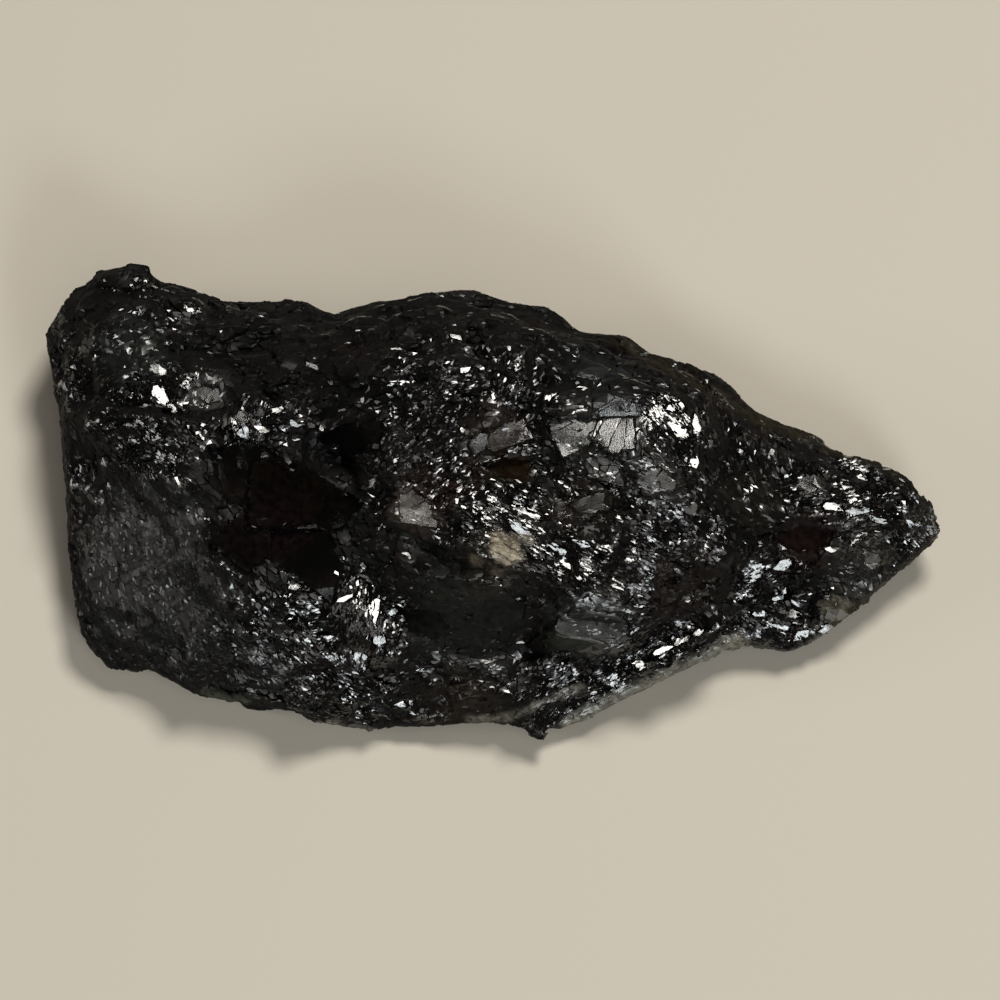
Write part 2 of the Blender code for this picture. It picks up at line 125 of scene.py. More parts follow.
# Zones of the stone: where (millimetres across and up as sighted, and radius), the grain's angle in
# degrees, the share of the fractures and of the splinters, and how far its faces turn to the light
# (above 0) or away from it (below 0).
ZONES = {
    "knob top": (-48, 27, 5, 30, 0.5, 0.3, -0.6),
    "knob crest": (-38, 26, 4.5, -15, 0.8, 0.8, 0.15),
    "lobe edge": (-52, 21, 4.5, -30, 0.8, 0.8, 0.2),
    "lobe middle": (-45, 21, 4, 20, 0.4, 0.3, 0.0),
    "lobe bright": (-41, 17, 3.5, -38, 1.0, 1.0, 1.0),
    "lobe stripes": (-35.5, 15.5, 2.4, 62, 0.4, 0.6, 0.45),
    "lobe low": (-43, 10.5, 4.4, -30, 1.0, 1.0, 1.0),
    "lobe rim": (-54, 17.5, 2, -70, 0.8, 0.8, 0.4),
    "left face": (-43, -5, 11, -55, 0.25, 0.7, 0.08),
    "left low": (-37, -14.5, 6, -45, 0.4, 0.8, 0.3),
    "left foot": (-46, -18.5, 4, -30, 0.4, 0.7, -0.1),
    "saddle": (-29, 21, 7, 0, 0.3, 0.12, -0.9),
    "bright knob": (-30, 12.5, 2.5, 70, 0.8, 0.7, 0.8),
    "bright knob right": (-26, 12.5, 2.5, 15, 1.0, 1.0, 0.6),
    "pit": (-18.5, 8, 3.5, 0, 0.3, 0.1, -0.9),
    "dark face": (-25, 3.5, 6, -25, 0.15, 0.1, -0.9),
    "dark slope": (-24, -5, 6, -60, 0.25, 0.2, -0.6),
    "dark wall": (-31.5, -0.5, 4.6, -60, 0.2, 0.15, -0.7),
    "dark brown": (-33.5, 5.0, 3.8, -30, 0.2, 0.15, -0.8),
    "hump left": (-19, 18.5, 5, 10, 0.6, 0.3, -0.5),
    "hump top": (-6.5, 18.5, 7, 18, 1.0, 0.9, 0.3),
    "hump back": (-6.5, 26, 8, 0, 0.4, 0.3, -0.9),
    "hump right": (3.5, 17, 3.5, 52, 1.0, 1.0, 0.45),
    "hump front": (-8, 6.5, 5, 35, 1.0, 1.0, 0.5),
    "brown facets": (1, 10, 3, 10, 0.3, 0.2, 0.45),
    "brown pocket": (2, 6, 2.4, 0, 0.3, 0.1, -0.6),
    "block back": (13, 18.5, 5, 0, 0.5, 0.3, -0.1),
    "block facet left": (10, 11, 3, 5, 0.25, 0.08, 0.6),
    "block facet right": (16, 10.5, 3, 85, 0.25, 0.08, 0.6),
    "block bright": (22.5, 11, 4.2, -50, 1.0, 1.0, 1.0),
    "block low": (19.5, 4.5, 3.5, -30, 0.6, 0.6, 0.5),
    "centre": (9.5, 6, 5, -25, 1.0, 1.0, 0.25),
    "smooth dark": (11, 1.8, 3, 8, 0.15, 0.08, -0.3),
    "terrace": (5.0, -1.0, 6.4, -28, 1.0, 1.0, 1.0),
    "terrace right": (14.0, -3, 5.5, -25, 1.0, 1.0, 0.9),
    "tan spot": (1.5, -4, 2.2, -15, 0.4, 0.2, 0.2),
    "pale brown": (-9, 1, 2.6, -20, 0.5, 0.4, 0.4),
    "front dark": (-11.5, -5, 6, -20, 0.6, 0.4, -0.6),
    "band": (-3, -12.5, 8, 0, 0.4, 0.3, -0.4),
    "band streak": (-12, -10.5, 2.5, -15, 0.8, 0.8, 0.4),
    "grey facet": (11.5, -14, 5, -8, 0.15, 0.06, 0.4),
    "radial": (-16, -12.5, 5.5, 75, 0.8, 1.0, 1.0),
    "radial left": (-20, -13, 3, 10, 1.0, 1.0, 1.0),
    "radial low": (-15, -16.5, 3.2, 75, 1.0, 1.0, 1.0),
    "radial top": (-23, -9, 2.8, -10, 1.0, 1.0, 0.9),
    "toe rim": (-17, -24, 4, -35, 1.0, 1.0, 0.6),
    "front left": (-27, -15.5, 6, -42, 1.0, 1.0, 0.4),
    "front toe": (-20, -21, 5, -35, 1.0, 1.0, 0.35),
    "front middle": (-5, -21.5, 7, 15, 0.8, 0.6, 0.05),
    "rib": (18.5, -18.5, 8, 27, 1.0, 1.0, 1.0),
    "rib foot": (6.5, -24.5, 3, 35, 1.0, 1.0, 0.6),
    "red slope": (25, -10, 6, -22, 0.9, 0.7, -0.1),
    "middle right": (21, -4, 5, -28, 1.0, 1.0, 0.45),
    "valley": (31, 8.5, 5.5, -75, 0.6, 0.5, -0.3),
    "shoulder": (31.5, 2.5, 4, -40, 0.3, 0.2, -0.5),
    "wing top": (42, 3.8, 6, 5, 1.0, 1.0, 0.85),
    "wing bright": (45.5, 1, 5.4, 10, 1.0, 1.0, 1.0),
    "red recess": (39.5, -2.5, 4.2, 0, 0.3, 0.1, -0.8),
    "white loops": (34.5, -6.6, 4.2, 20, 1.0, 1.0, 1.0),
    "dark recess": (38.5, -10, 3, -10, 0.4, 0.12, -0.8),
    "ledge lobe": (36, -13.6, 5.0, -35, 1.0, 1.0, 1.0),
    "wing foot": (47.5, -5.5, 5, -35, 0.6, 0.6, 0.35),
    "tip": (53, 0, 3.6, -45, 0.9, 0.9, 0.5),
    "wing back": (38.5, 10, 5, -45, 0.8, 0.6, 0.1),
    "rim right": (27, 17.5, 4.5, -45, 0.7, 0.5, -0.4),
}
# Smooth planes in the broken surface: where (millimetres across and up as sighted), half length and
# half breadth, the length's angle, what it faces (the nearest open lamp, a lamp by name or the
# dark), how many degrees it turns from that to the right and to the back, and its lift.
PLANES = {
    "block left": (10.2, 10.8, 3.4, 2.0, 5, "lit", -6, -4, 0.0),
    "block right": (15.4, 10.6, 2.4, 3.0, 0, "lit", -6, 2, 0.2),
    "block shelf": (15, 14, 3.6, 1.4, -8, "lit", -9, -4, 0.2),
    "block back": (12.0, 18.4, 2.4, 1.5, -8, "lit", -9, -4, 0.1),
    "block chip": (16.2, 18.0, 1.8, 1.3, 60, "lit", -8, 4, 0.1),
    "block under": (13.5, 6.4, 3.0, 1.6, -15, "sheen", 0, 8, 0.0),
    "block foot": (20, 4.6, 2.8, 1.8, -20, "sheen", 4, 2, 0.1),
    "brown step": (1.6, 10.4, 3.2, 1.8, 15, "lit", -10, -6, 0.1),
    "brown pocket": (2.0, 6.2, 2.8, 1.6, -10, "dark", 0, 0, -0.6),
    "brown side": (-1.6, 9.2, 1.6, 1.0, 60, "lit", -7, -3, 0.1),
    "pale brown": (-9.2, 1.2, 2.8, 1.8, -20, "lit", -9, -4, 0.0),
    "smooth dark left": (8.6, 1.4, 2.2, 1.4, 20, "sheen", 6, 6, 0.2),
    "smooth dark right": (12.4, 2.2, 3.0, 1.3, 8, "sheen", -8, 4, 0.4),
    "grey facet": (11.6, -13.6, 5.6, 3.0, -8, "sheen", 12, 8, 0.1),
    "lobe stripes": (-35.0, 15.6, 1.1, 1.6, 62, "lit", -6, -3, 0.1),
    "dark wall": (-29.8, -2.4, 4.0, 3.4, -60, "dark", 0, 0, 0.0),
    "dark brow": (-30.0, 5.4, 5.4, 3.8, -20, "dark", 0, 0, 0.0),
    "dark slope": (-22.6, -4.6, 5.6, 3.8, -40, "dark", 0, 0, 0.0),
    "dark face": (-24.0, 2.6, 7.6, 4.2, -28, "dark", 0, 0, 0.1),
    "pit wall": (-17.5, 10, 4.2, 2.0, 6, "dark", 0, 0, -0.6),
    "red recess": (39.4, -2.2, 3.6, 1.8, 4, "dark", 0, 0, -0.3),
    "wing patch": (39.6, 4.4, 2.2, 1.4, 0, "lit", -7, -4, 0.1),
    "wing satin": (47.2, -4.9, 1.6, 1.2, -42, "sheen", -2, 2, 0.1),
    "ledge pale": (43.0, -11.8, 1.6, 1.0, -20, "lit", -6, -3, 0.1),
    "band": (0.5, -11.6, 4.0, 1.6, 10, "dark", 0, 0, -0.2),
    "band left": (-8.2, -13.0, 3.6, 1.6, -20, "dark", 0, 0, -0.2),
    "bright knob": (-31, 12.0, 1.8, 1.4, 70, "lit", -5, -2, 0.3),
}
# Small brilliant faces: where, half length and half breadth, the length's angle.
GLINTS = {
    "lobe flash": (-41.4, 18.7, 1.3, 0.7, -20),
    "lobe blaze": (-40.9, 15.4, 1.7, 0.8, -42),
    "lobe blaze low": (-39.6, 13.8, 1.1, 0.45, -42),
    "lobe low left": (-43.4, 12.2, 1.0, 0.5, -60),
    "lobe low right": (-41.2, 10.2, 0.9, 0.5, 20),
    "lobe rim flash": (-53.6, 16.8, 0.9, 0.4, -60),
    "knob flash": (-30.4, 10.7, 1.1, 0.9, 60),
    "knob flash right": (-28.4, 11.2, 1.0, 0.4, -20),
    "knob ledge": (-26.4, 13.6, 1.1, 0.4, 25),
    "knob corner": (-24.4, 11.8, 0.8, 0.5, -30),
    "saddle flash": (-22.3, 19.1, 0.8, 0.4, -30),
    "pit flash": (-21.0, 11.3, 0.6, 0.45, 0),
    "block spot": (24.8, 7.2, 0.9, 0.7, 40),
    "block edge": (25.0, 12.0, 1.8, 0.6, 80),
    "block blaze": (22.8, 11.0, 1.6, 0.8, -40),
    "block top": (22.4, 13.8, 1.2, 0.6, 10),
    "block seam": (12.9, 11.4, 1.7, 0.3, 65),
    "radial bar": (-14.3, -11.2, 2.0, 0.4, 84),
    "radial ring": (-14.0, -14.8, 1.0, 0.7, 10),
    "radial left": (-20.4, -14.0, 1.1, 0.6, 0),
    "radial low": (-16.2, -16.8, 1.2, 0.6, -20),
    "radial right": (-12.2, -11.3, 0.9, 0.5, 30),
    "radial arc": (-18.0, -9.6, 1.3, 0.4, 20),
    "toe flash": (-11.4, -22.9, 0.6, 0.4, 0),
    "terrace blaze": (3.4, -1.0, 1.8, 0.6, -28),
    "terrace blaze right": (7.6, -3.2, 1.8, 0.5, -30),
    "terrace streak": (4.6, 0.8, 1.8, 0.4, -25),
    "terrace flash": (10.8, -2.9, 1.4, 0.5, -28),
    "hump flash": (-4.6, 22.6, 0.9, 0.35, -15),
    "hump streak": (-3.2, 18.4, 1.1, 0.35, 20),
    "radial start": (-24.2, -8.2, 1.0, 0.5, 20),
    "radial sweep": (-22.0, -10.8, 1.2, 0.45, -50),
    "wing top streak": (44.2, 4.0, 1.2, 0.4, -10),
    "tip flash": (52.6, -0.6, 0.9, 0.4, -30),
    "rib flash": (15.4, -19.6, 1.6, 0.6, 27),
    "rib streak": (18.8, -17.6, 1.5, 0.5, 27),
    "rib left": (12.8, -21.2, 1.2, 0.4, 27),
    "rib spark": (25.6, -13.8, 1.2, 0.45, 30),
    "rib glint": (11.6, -23.8, 1.1, 0.4, 30),
    "rib blaze": (21.0, -16.0, 2.0, 0.5, 27),
    "rib blaze right": (23.4, -14.9, 1.6, 0.5, 30),
    "loop left": (32.8, -6.5, 1.2, 0.8, 60),
    "loop middle": (34.5, -5.9, 0.8, 0.6, 20),
    "loop right": (36.1, -5.5, 1.3, 0.8, 15),
    "ledge flash": (38.6, -14.4, 1.4, 0.7, 20),
    "ledge flash right": (41.6, -13.6, 1.2, 0.5, 25),
    "ledge streak": (36.0, -13.4, 1.3, 0.5, -20),
    "ledge spark": (33.2, -11.6, 1.0, 0.4, 10),
    "ledge high": (37.6, -11.8, 1.1, 0.45, -10),
    "ledge middle": (35.6, -9.8, 1.0, 0.4, 15),
    "terrace low": (8.8, -5.2, 1.3, 0.45, -35),
    "wing streak": (45.0, 1.0, 2.2, 0.6, 8),
    "wing streak left": (42.0, 1.6, 1.6, 0.5, -5),
    "wing streak right": (48.2, -0.2, 1.2, 0.45, -10),
}
# Coloured places: where, radius, colour, strength and how dull the finish is.
# Some greys below paint sheen, as marked.
TINTS = {
    "pale brown": (-9.4, 1.2, 3.4, (0.035, 0.026, 0.021), 1.0, 0.2),
    "brown facets": (0.6, 10.2, 4.2, (0.02, 0.014, 0.011), 0.9, 0.1),
    "brown pocket": (2.0, 6.0, 2.8, (0.014, 0.0075, 0.0035), 1.0, 0.0),
    "red fleck": (-1.6, 4.8, 1.6, (0.010, 0.005, 0.003), 0.8, 0.0),
    "red pocket": (-5.4, 3.0, 2.2, (0.013, 0.0055, 0.004), 0.9, 0.0),
    "red flank": (-8.6, 4.6, 2.4, (0.012, 0.0055, 0.0045), 0.8, 0.0),
    # partly a paler tone, partly painted sheen: the block's facets also reflect the lamps
    "block facets": (13.5, 10.8, 6.0, (0.016, 0.016, 0.0145), 0.9, 0.1),
    "block foot": (20, 4.8, 3.4, (0.026, 0.024, 0.021), 0.9, 0.2),
    "block back": (13.5, 19.0, 5.0, (0.010, 0.0115, 0.0115), 0.9, 0.2),
    "smooth brown": (11, 1.8, 4.4, (0.013, 0.010, 0.0075), 0.9, 0.0),
    # partly a paler tone, partly painted sheen: the facet also reflects the broad sheen lamp
    "grey facet": (11.5, -14, 5.6, (0.016, 0.017, 0.0145), 1.0, 0.5),
    "lobe green": (-44, 21, 5.0, (0.009, 0.0115, 0.0095), 0.9, 0.3),
    "stripes": (-35.3, 15.4, 2.6, (0.022, 0.022, 0.02), 0.9, 0.3),
    # painted sheen: this grey stands in for the left lamp's sheen on the left face
    "left face": (-42, -7.5, 12.0, (0.013, 0.013, 0.0132), 0.9, 1.0),
    "band": (-3, -12.5, 7.5, (0.009, 0.0095, 0.0085), 0.9, 0.5),
    "front low": (-30, -18.5, 6.0, (0.0095, 0.0095, 0.0095), 0.8, 0.7),
    # painted sheen: this grey brightens the foot of the left face like that sheen
    "left foot": (-40, -16, 5.5, (0.011, 0.011, 0.011), 0.9, 0.9),
    "dark face": (-24.5, 3.0, 6.0, (0.0035, 0.0024, 0.0018), 1.0, -0.2),
    "dark wall": (-30.5, -2.4, 5.4, (0.0038, 0.0027, 0.0023), 1.0, -0.2),
    "plum slope": (-26, -1, 4.0, (0.006, 0.003, 0.0035), 0.9, 0.0),
    "red slope": (24, -8, 5.5, (0.012, 0.008, 0.007), 0.9, 0.2),
    "shoulder": (32.0, 3.0, 4.0, (0.010, 0.008, 0.006), 0.9, 0.0),
    "red recess": (39.5, -2.2, 4.2, (0.012, 0.0065, 0.006), 1.0, 0.0),
    "wing foot": (46, -5.4, 4.5, (0.022, 0.0205, 0.018), 0.8, 0.4),
    "pale ledge": (43.0, -11.6, 2.4, (0.07, 0.062, 0.042), 1.0, 0.8),
    "tip": (54, 0, 3.0, (0.02, 0.016, 0.012), 0.7, 0.4),
    "front foot": (-4, -24, 6.0, (0.016, 0.011, 0.007), 0.7, 0.5),
    "brown rim": (0.4, -5.2, 4.6, (0.012, 0.009, 0.006), 0.9, 0.1),
    "tan inclusion": (1.6, -3.4, 2.1, (0.30, 0.25, 0.175), 1.0, 1.2),
    "tan scraps": (4.2, -2.4, 0.9, (0.16, 0.14, 0.105), 0.8, 0.8),
    "tan left": (-1.9, -4.8, 1.1, (0.13, 0.11, 0.08), 0.8, 0.8),
    "tan below": (0.6, -6.0, 0.8, (0.13, 0.11, 0.08), 0.8, 0.8),
}
TINT_RIPPLES = ((3.4, 0.3, 8), (1.3, 0.16, 9))  # millimetres, height in radii and draw
TINT_BORDER = 0.4  # widest soft border of a tint, in radii
TINT_BORDER_SHARE = 0.1  # and how much of it a tint has for each millimetre of its radius
# Lines along edges: the two ends across and up as sighted, half breadth, colour, strength and
# dullness.
EDGE_LINES_AND_REFLECTIONS = {
    "rib edge": (9.5, -25.2, 30.8, -14.8, 0.8, (0.25, 0.24, 0.20), 0.9, 0.8),
    "rib ledge": (1.8, -24.6, 11.0, -20.6, 0.45, (0.15, 0.145, 0.12), 0.8, 0.6),
    "foot edge": (-36.0, -21.4, -30.4, -22.6, 0.35, (0.08, 0.085, 0.06), 0.7, 0.6),
    "toe edge": (-20.8, -25.2, -13.2, -26.6, 0.35, (0.16, 0.15, 0.125), 0.8, 0.5),
    "middle edge": (-3.0, -24.8, 1.8, -24.6, 0.35, (0.16, 0.15, 0.125), 0.8, 0.5),
    "ledge edge": (38.0, -16.6, 44.6, -12.6, 0.4, (0.10, 0.10, 0.085), 0.8, 0.6),
    # painted reflections: brown where the floor's light glances off the back and wing rims
    "back rim reflection": (15.8, 22.4, 33.4, 12.4, 0.8, (0.024, 0.018, 0.009), 0.7, 0.4),
    "wing rim reflection": (33.4, 12.4, 50.8, 6.2, 0.7, (0.028, 0.022, 0.011), 0.7, 0.4),
    "wing edge": (45.6, -10.6, 55.0, -3.0, 0.25, (0.06, 0.055, 0.045), 0.7, 0.6),
}
EDGE_RIPPLES = ((2.6, 0.35, 13),)
EDGE_BRINK = (-1.6, 1)  # minus the half breadths from its line where it starts, and its growth
GLINT_LIFT = 0.1
SHEEN_SMOOTH = 0.7  # how smooth a plane that faces the sheen is
PLANE_SIDES = 5
PLANE_UNEVEN = 0.35  # how far a side turns from its even place, as a share of the sides' angle
PLANE_SHORTEST = 0.72  # how near a side comes to the middle, where 1 is the plane's own half size
PLANE_BRINK = (-1.04, 0.08)  # minus the reach where a plane's share starts, and its growth to whole
PLANE_RIPPLE = 2.2  # millimetres of its outline's ripples
PLANE_RAGGED = 0.05  # and their height, where 1 is the plane's own half size
PLANE_DEPTH = 3.4  # millimetres towards and away from the eye that a plane reaches
PLANE_CUT = 1.3  # most millimetres that a plane cuts away or fills
REST_OF_STONE = (-24, 0.6, 0.4, -0.4)  # grain, fractures, splinters and glint where no zone reaches
SIGHTED_RINGS = (0.5, 1.0)  # looks taken around a place, on rings of these shares of the reach
SIGHTED_TURNS = 8

# Facets broken into the stone, from large to small: the height of their steps in millimetres, how
# steeply they lean at random and how far they turn to their zone's facing.
FRACTURES = {"Coarse": (0.24, 0.3, 0.35), "Medium": (0.13, 0.44, 0.4), "Fine": (0.05, 0.48, 0.25)}
FRACTURE_PARTS = {"Cell": "Vector", "Step": "Float", "Slope": "Float", "Turn": "Float"}
LAYER_SEED = 13.7

# The pieces of small forms and the part of the stone's length, in millimetres, that each dresses.
FLAKE_PIECES = {"flakes_left": (-60, -8), "flakes_right": (-8, 60)}
SPLINTER_PIECES = {"splinters": (-60, 60)}
FLAKE_FORMS = 6
FLAKE_SIDES = 4
FLAKE_UNEVEN = 0.3  # how far a corner turns from its even place, as a share of a side
FLAKE_REACH = (0.34, 0.56)  # of the corners from the middle
FLAKE_FOOT = 1.25  # how much wider the foot is
MOST_FORMS = 11  # highest number drawn to pick a form, which starts again after the last one
# A splinter's three-sided section, with its flat face up, and how far its two ends slant.
SPLINTER_SECTION = ((-0.5, -0.06), (0.5, 0.0), (0.06, -0.9))
SPLINTER_ENDS = (
    ((0.0, 0.12, 0.2), (-0.05, 0.1, -0.2)),
    ((0.1, -0.08, 0.25), (0.12, -0.1, -0.1)),
    ((-0.1, 0.05, 0.15), (0.0, -0.15, -0.3)),
    ((0.15, 0.15, 0.05), (-0.12, 0.05, -0.25)),
)

# The finish: each pattern's features per metre, detail and roughness.
CLOUDS = (140.0, 5.0, 0.6)
SPECKS = (1200.0, 3.0, 0.5)
BROWN_CLOUDS = (0.48, 0.72)  # where the clouds turn brown and where they are wholly so
DULL_CLOUDS = (0.35, 0.7)  # and where they add the first and the last of the dulling
DULLING = 0.11
MOTTLING = (0.35, 0.65, 0.4, 1.2)  # the specks' range, and how dark and how pale they make a tint
CHATTER_CELLS = 2600.0  # per metre
CHATTER = (0.03, 0.11)  # lean of the chatter's facets, where the stone is smooth and hackly
GRAIN_LINES = (0.25, 3.2, 0.6)  # the fine lines' stretch along, beside and through the grain
LINES = (5.0, 3.0, 0.5)
LINE_HEIGHT = 0.05 * MM
LINE_STRENGTH = (0.08, 0.55)  # on hackly and on smooth faces
SCHORL_IOR = 1.64
SATIN_ROUGHNESS = 0.26
WEATHERED_SPECULAR = 0.12
BROKEN_SPECULAR = 0.5

FLOOR_SIZE = 6.0
FLOOR_GAP = 0.05 * MM
ROOM_COLOUR = (1.0, 0.92, 0.82, 1)


# ---------------------------------------------------------------- where faces look


def unit(vectors):
    """The vectors at length one."""
    return vectors / np.maximum(np.linalg.norm(vectors, axis=-1, keepdims=True), 1e-9)


def ramp(values, start, spread):
    """From 0, where the values start, to 1, a spread beyond."""
    return np.clip((values - start) / spread, 0, 1)


def eye(lens):
    """Where the eye is, so that the stone fills the frame, for a lens of that length."""
    axes = np.stack((ACROSS, UPWARD, TOWARDS))
    return (CENTRE + (0, 0, FRAME_WIDTH * lens / SENSOR)) @ axes * MM


EYE = eye(LENS)


def glint_facing(lamp, places):
    """Where a face at each place has to look to send that lamp's light to the eye."""
    direction, distance = LAMPS[lamp][:2]
    return unit(unit(unit(np.array(direction)) * distance - places) + unit(EYE - places))


def skin():
    """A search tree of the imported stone's faces."""
    mesh = frame["nodes"][NODE].data
    return BVHTree.FromPolygons([v.co for v in mesh.vertices], [p.vertices for p in mesh.polygons])


STONE_SKIN = skin()


def sighted(across, up, reach):
    """The middle and the mean facing of the stone that is seen within a reach of that place."""
    hits = []
    facings = []
    rings = [(0, 0)] + [(ring, turn) for ring in SIGHTED_RINGS for turn in range(SIGHTED_TURNS)]
    for ring, turn in rings:
        angle = math.tau * turn / SIGHTED_TURNS
        right = across + ring * reach * math.cos(angle)
        higher = up + ring * reach * math.sin(angle)
        start = (right * ACROSS + higher * UPWARD) * MM + TOWARDS
        hit, normal, _, _ = STONE_SKIN.ray_cast(Vector(start), Vector(-TOWARDS))
        if hit is not None:
            hits.append(hit)
            facings.append(normal)
    if not hits:
        raise RuntimeError(f"nothing of the stone is seen at {across}, {up}")
    height = np.median(np.array(hits) @ TOWARDS)
    middle = (across * ACROSS + up * UPWARD) * MM + height * TOWARDS
    return middle, unit(np.mean(facings, axis=0))


def open_lamp(spot, normal):
    """The lamp, not hidden by the stone, whose glint facing is nearest to the surface's own."""
    best = []
    for name in GLINT_LAMPS:
        way = Vector(LAMPS[name][0]).normalized()
        start = Vector(spot + normal * MM) + way * MM
        hidden = STONE_SKIN.ray_cast(start, way)[0] is not None
        near = glint_facing(name, spot) @ normal
        best.append((near - hidden + KEY_LEANING * (name == "key"), name))
    return max(best)[1]


def dark_facings():
    """Every facing, of an even spread, that reflects neither the floor nor a lamp."""
    ends = zip(DARK_LEAST, DARK_MOST)
    right, back = np.meshgrid(*(np.arange(*pair, DARK_SPACING) for pair in ends))
    slopes = np.stack((right.ravel(), back.ravel()), axis=1)
    for name, (_, distance, size, _, _) in LAMPS.items():
        facing = glint_facing(name, np.zeros(3))
        centre = facing[:2] / facing[2]
        spread = math.atan2(size / 2, distance) / 2 + math.radians(GLARE)
        reach = math.tan(spread) * (1 + centre @ centre)
        slopes = slopes[np.linalg.norm(slopes - centre, axis=1) > reach]
    return unit(np.hstack((slopes, np.ones((len(slopes), 1)))))


DARK_FACINGS = dark_facings()


def dark_facing(normal):
    """The facing nearest to the surface's own that reflects the dark of the room."""
    return DARK_FACINGS[(DARK_FACINGS @ normal).argmax()]


# ---------------------------------------------------------------- nodes


def add(tree, kind, inputs=None, **settings):
    """A node with its settings, and its inputs given as sockets or as plain values."""
    made = tree.nodes.new(kind)
    for key, value in settings.items():
        setattr(made, key, value)
    for key, value in (inputs or {}).items():
        if isinstance(value, bpy.types.NodeSocket):
            tree.links.new(value, made.inputs[key])
        else:
            made.inputs[key].default_value = value
    return made


def vector_math(tree, operation, *values):
    """A Vector Math node's result."""
    made = add(tree, "ShaderNodeVectorMath", dict(enumerate(values)), operation=operation)
    return made.outputs["Value" if operation == "DOT_PRODUCT" else "Vector"]


def scaled(tree, vector, scale):
    """The vector at that many times its length."""
    made = add(tree, "ShaderNodeVectorMath", {0: vector, "Scale": scale}, operation="SCALE")
    return made.outputs[0]


def scalar_math(tree, operation, *values):
    """A Math node's result."""
    return add(tree, "ShaderNodeMath", dict(enumerate(values)), operation=operation).outputs[0]


def multiplied(tree, *values):
    """The product of two values."""
    return scalar_math(tree, "MULTIPLY", *values)


def summed(tree, *values):
    """The sum of two values."""
    return scalar_math(tree, "ADD", *values)


def mapped(tree, value, *ends):
    """A value carried from one range to another: the old one's two ends, then the new one's."""
    keys = ("From Min", "From Max", "To Min", "To Max")
    made = add(tree, "ShaderNodeMapRange", {"Value": value, **dict(zip(keys, ends))})
    return made.outputs["Result"]


def mixed(tree, share, first, second):
    """Two colours, mixed by the share of the second."""
    inputs = {"Factor": share, 6: first, 7: second}
    return add(tree, "ShaderNodeMix", inputs, data_type="RGBA").outputs[2]


def noise(tree, place, scale, detail, roughness):
    """A cloudy value from 0 to 1."""
    inputs = {"Vector": place, "Scale": scale, "Detail": detail, "Roughness": roughness}
    return add(tree, "ShaderNodeTexNoise", inputs).outputs["Fac"]


def kept(tree, name, output="Fac"):
    """What the mesh keeps under a name, for a material."""
    return add(tree, "ShaderNodeAttribute", attribute_name=name).outputs[output]


def field(tree, name, kind="FLOAT"):
    """What the mesh keeps under a name, for Geometry Nodes."""
    made = add(tree, "GeometryNodeInputNamedAttribute", {"Name": name}, data_type=kind)
    return made.outputs["Attribute"]


def new_tree(name, sockets):
    """A Geometry Nodes tree with inputs of those names and kinds, and what they give."""
    tree = bpy.data.node_groups.new(name, "GeometryNodeTree")
    for socket, kind in {"Geometry": "Geometry", **sockets, "Material": "Material"}.items():
        tree.interface.new_socket(socket, in_out="INPUT", socket_type=f"NodeSocket{kind}")
    tree.interface.new_socket("Geometry", in_out="OUTPUT", socket_type="NodeSocketGeometry")
    return tree, tree.nodes.new("NodeGroupInput").outputs


def end_tree(tree, geometry, material):
    """Make the tree's instances real, give them their material and put them out."""
    realized = add(tree, "GeometryNodeRealizeInstances", {"Geometry": geometry}).outputs[0]
    finish = {"Geometry": realized, "Material": material}
    finished = add(tree, "GeometryNodeSetMaterial", finish).outputs[0]
    tree.links.new(finished, tree.nodes.new("NodeGroupOutput").inputs[0])
    return tree


def use_tree(item, tree, values):
    """Put a Geometry Nodes modifier on the object, with its inputs set by their identifiers."""
    modifier = item.modifiers.new(tree.name, "NODES")
    modifier.node_group = tree
    for socket in tree.interface.items_tree:
        if socket.in_out == "INPUT" and socket.name in values:
            modifier[socket.identifier] = values[socket.name]


# ---------------------------------------------------------------- meshes


def linked(name, data):
    """A new object in the scene."""
    made = bpy.data.objects.new(name, data)
    bpy.context.scene.collection.objects.link(made)
    return made


def freeze(item):
    """Make the object's modifiers a part of its mesh."""
    graph = bpy.context.evaluated_depsgraph_get()
    frozen = bpy.data.meshes.new_from_object(item.evaluated_get(graph))
    before = item.data
    item.modifiers.clear()
    item.data = frozen
    bpy.data.meshes.remove(before)
    frozen.name = item.name


def read(items, key, kind=np.float32):
    """One whole property of all the items, in a row."""
    width = 2 if key == "vertices" else 3 if key in {"co", "normal"} else 1
    values = np.empty(len(items) * width, kind)
    items.foreach_get(key, values)
    return values


def corners(mesh):
    """Places and normals of the mesh's corners."""
    return [read(mesh.vertices, key).reshape(-1, 3) for key in ("co", "normal")]


def move_corners(mesh, places):
    """Move the mesh's corners to those places."""
    mesh.vertices.foreach_set("co", places.astype(np.float32).ravel())
    mesh.update()


def store(mesh, **fields):
    """Keep values on the mesh's corners, each row of them under its name."""
    for name, values in fields.items():
        kind, key = ("FLOAT", "value") if values.ndim == 1 else ("FLOAT_VECTOR", "vector")
        made = mesh.attributes.new(name, kind, "POINT")
        made.data.foreach_set(key, np.ascontiguousarray(values, np.float32).ravel())


def shade(mesh, crease):
    """Shade softly across every edge that bends by less than the crease, in degrees."""
    mesh.polygons.foreach_set("use_smooth", np.full(len(mesh.polygons), crease > 0))
    if crease > 0:
        mesh.set_sharp_from_angle(angle=math.radians(crease))
    mesh.update()


# ---------------------------------------------------------------- settings

METRES = {"precision": 5, "unit": "LENGTH"}
COLOUR = {"subtype": "COLOR"}
SHARE = {"max": 1.0, "subtype": "FACTOR"}
FACET = "Length, breadth and depth, in millimetres, of a"
FORM = "Length, breadth and thickness of a"


def amount(name, description, default, **more):
    """A setting of one number that isn't below zero."""
    given = {"name": name, "description": description, "default": default, "min": 0.0, **more}
    return bpy.props.FloatProperty(**given)


def count(name, description, default):
    """A setting of a whole number that isn't below zero."""
    return bpy.props.IntProperty(name=name, description=description, default=default, min=0)


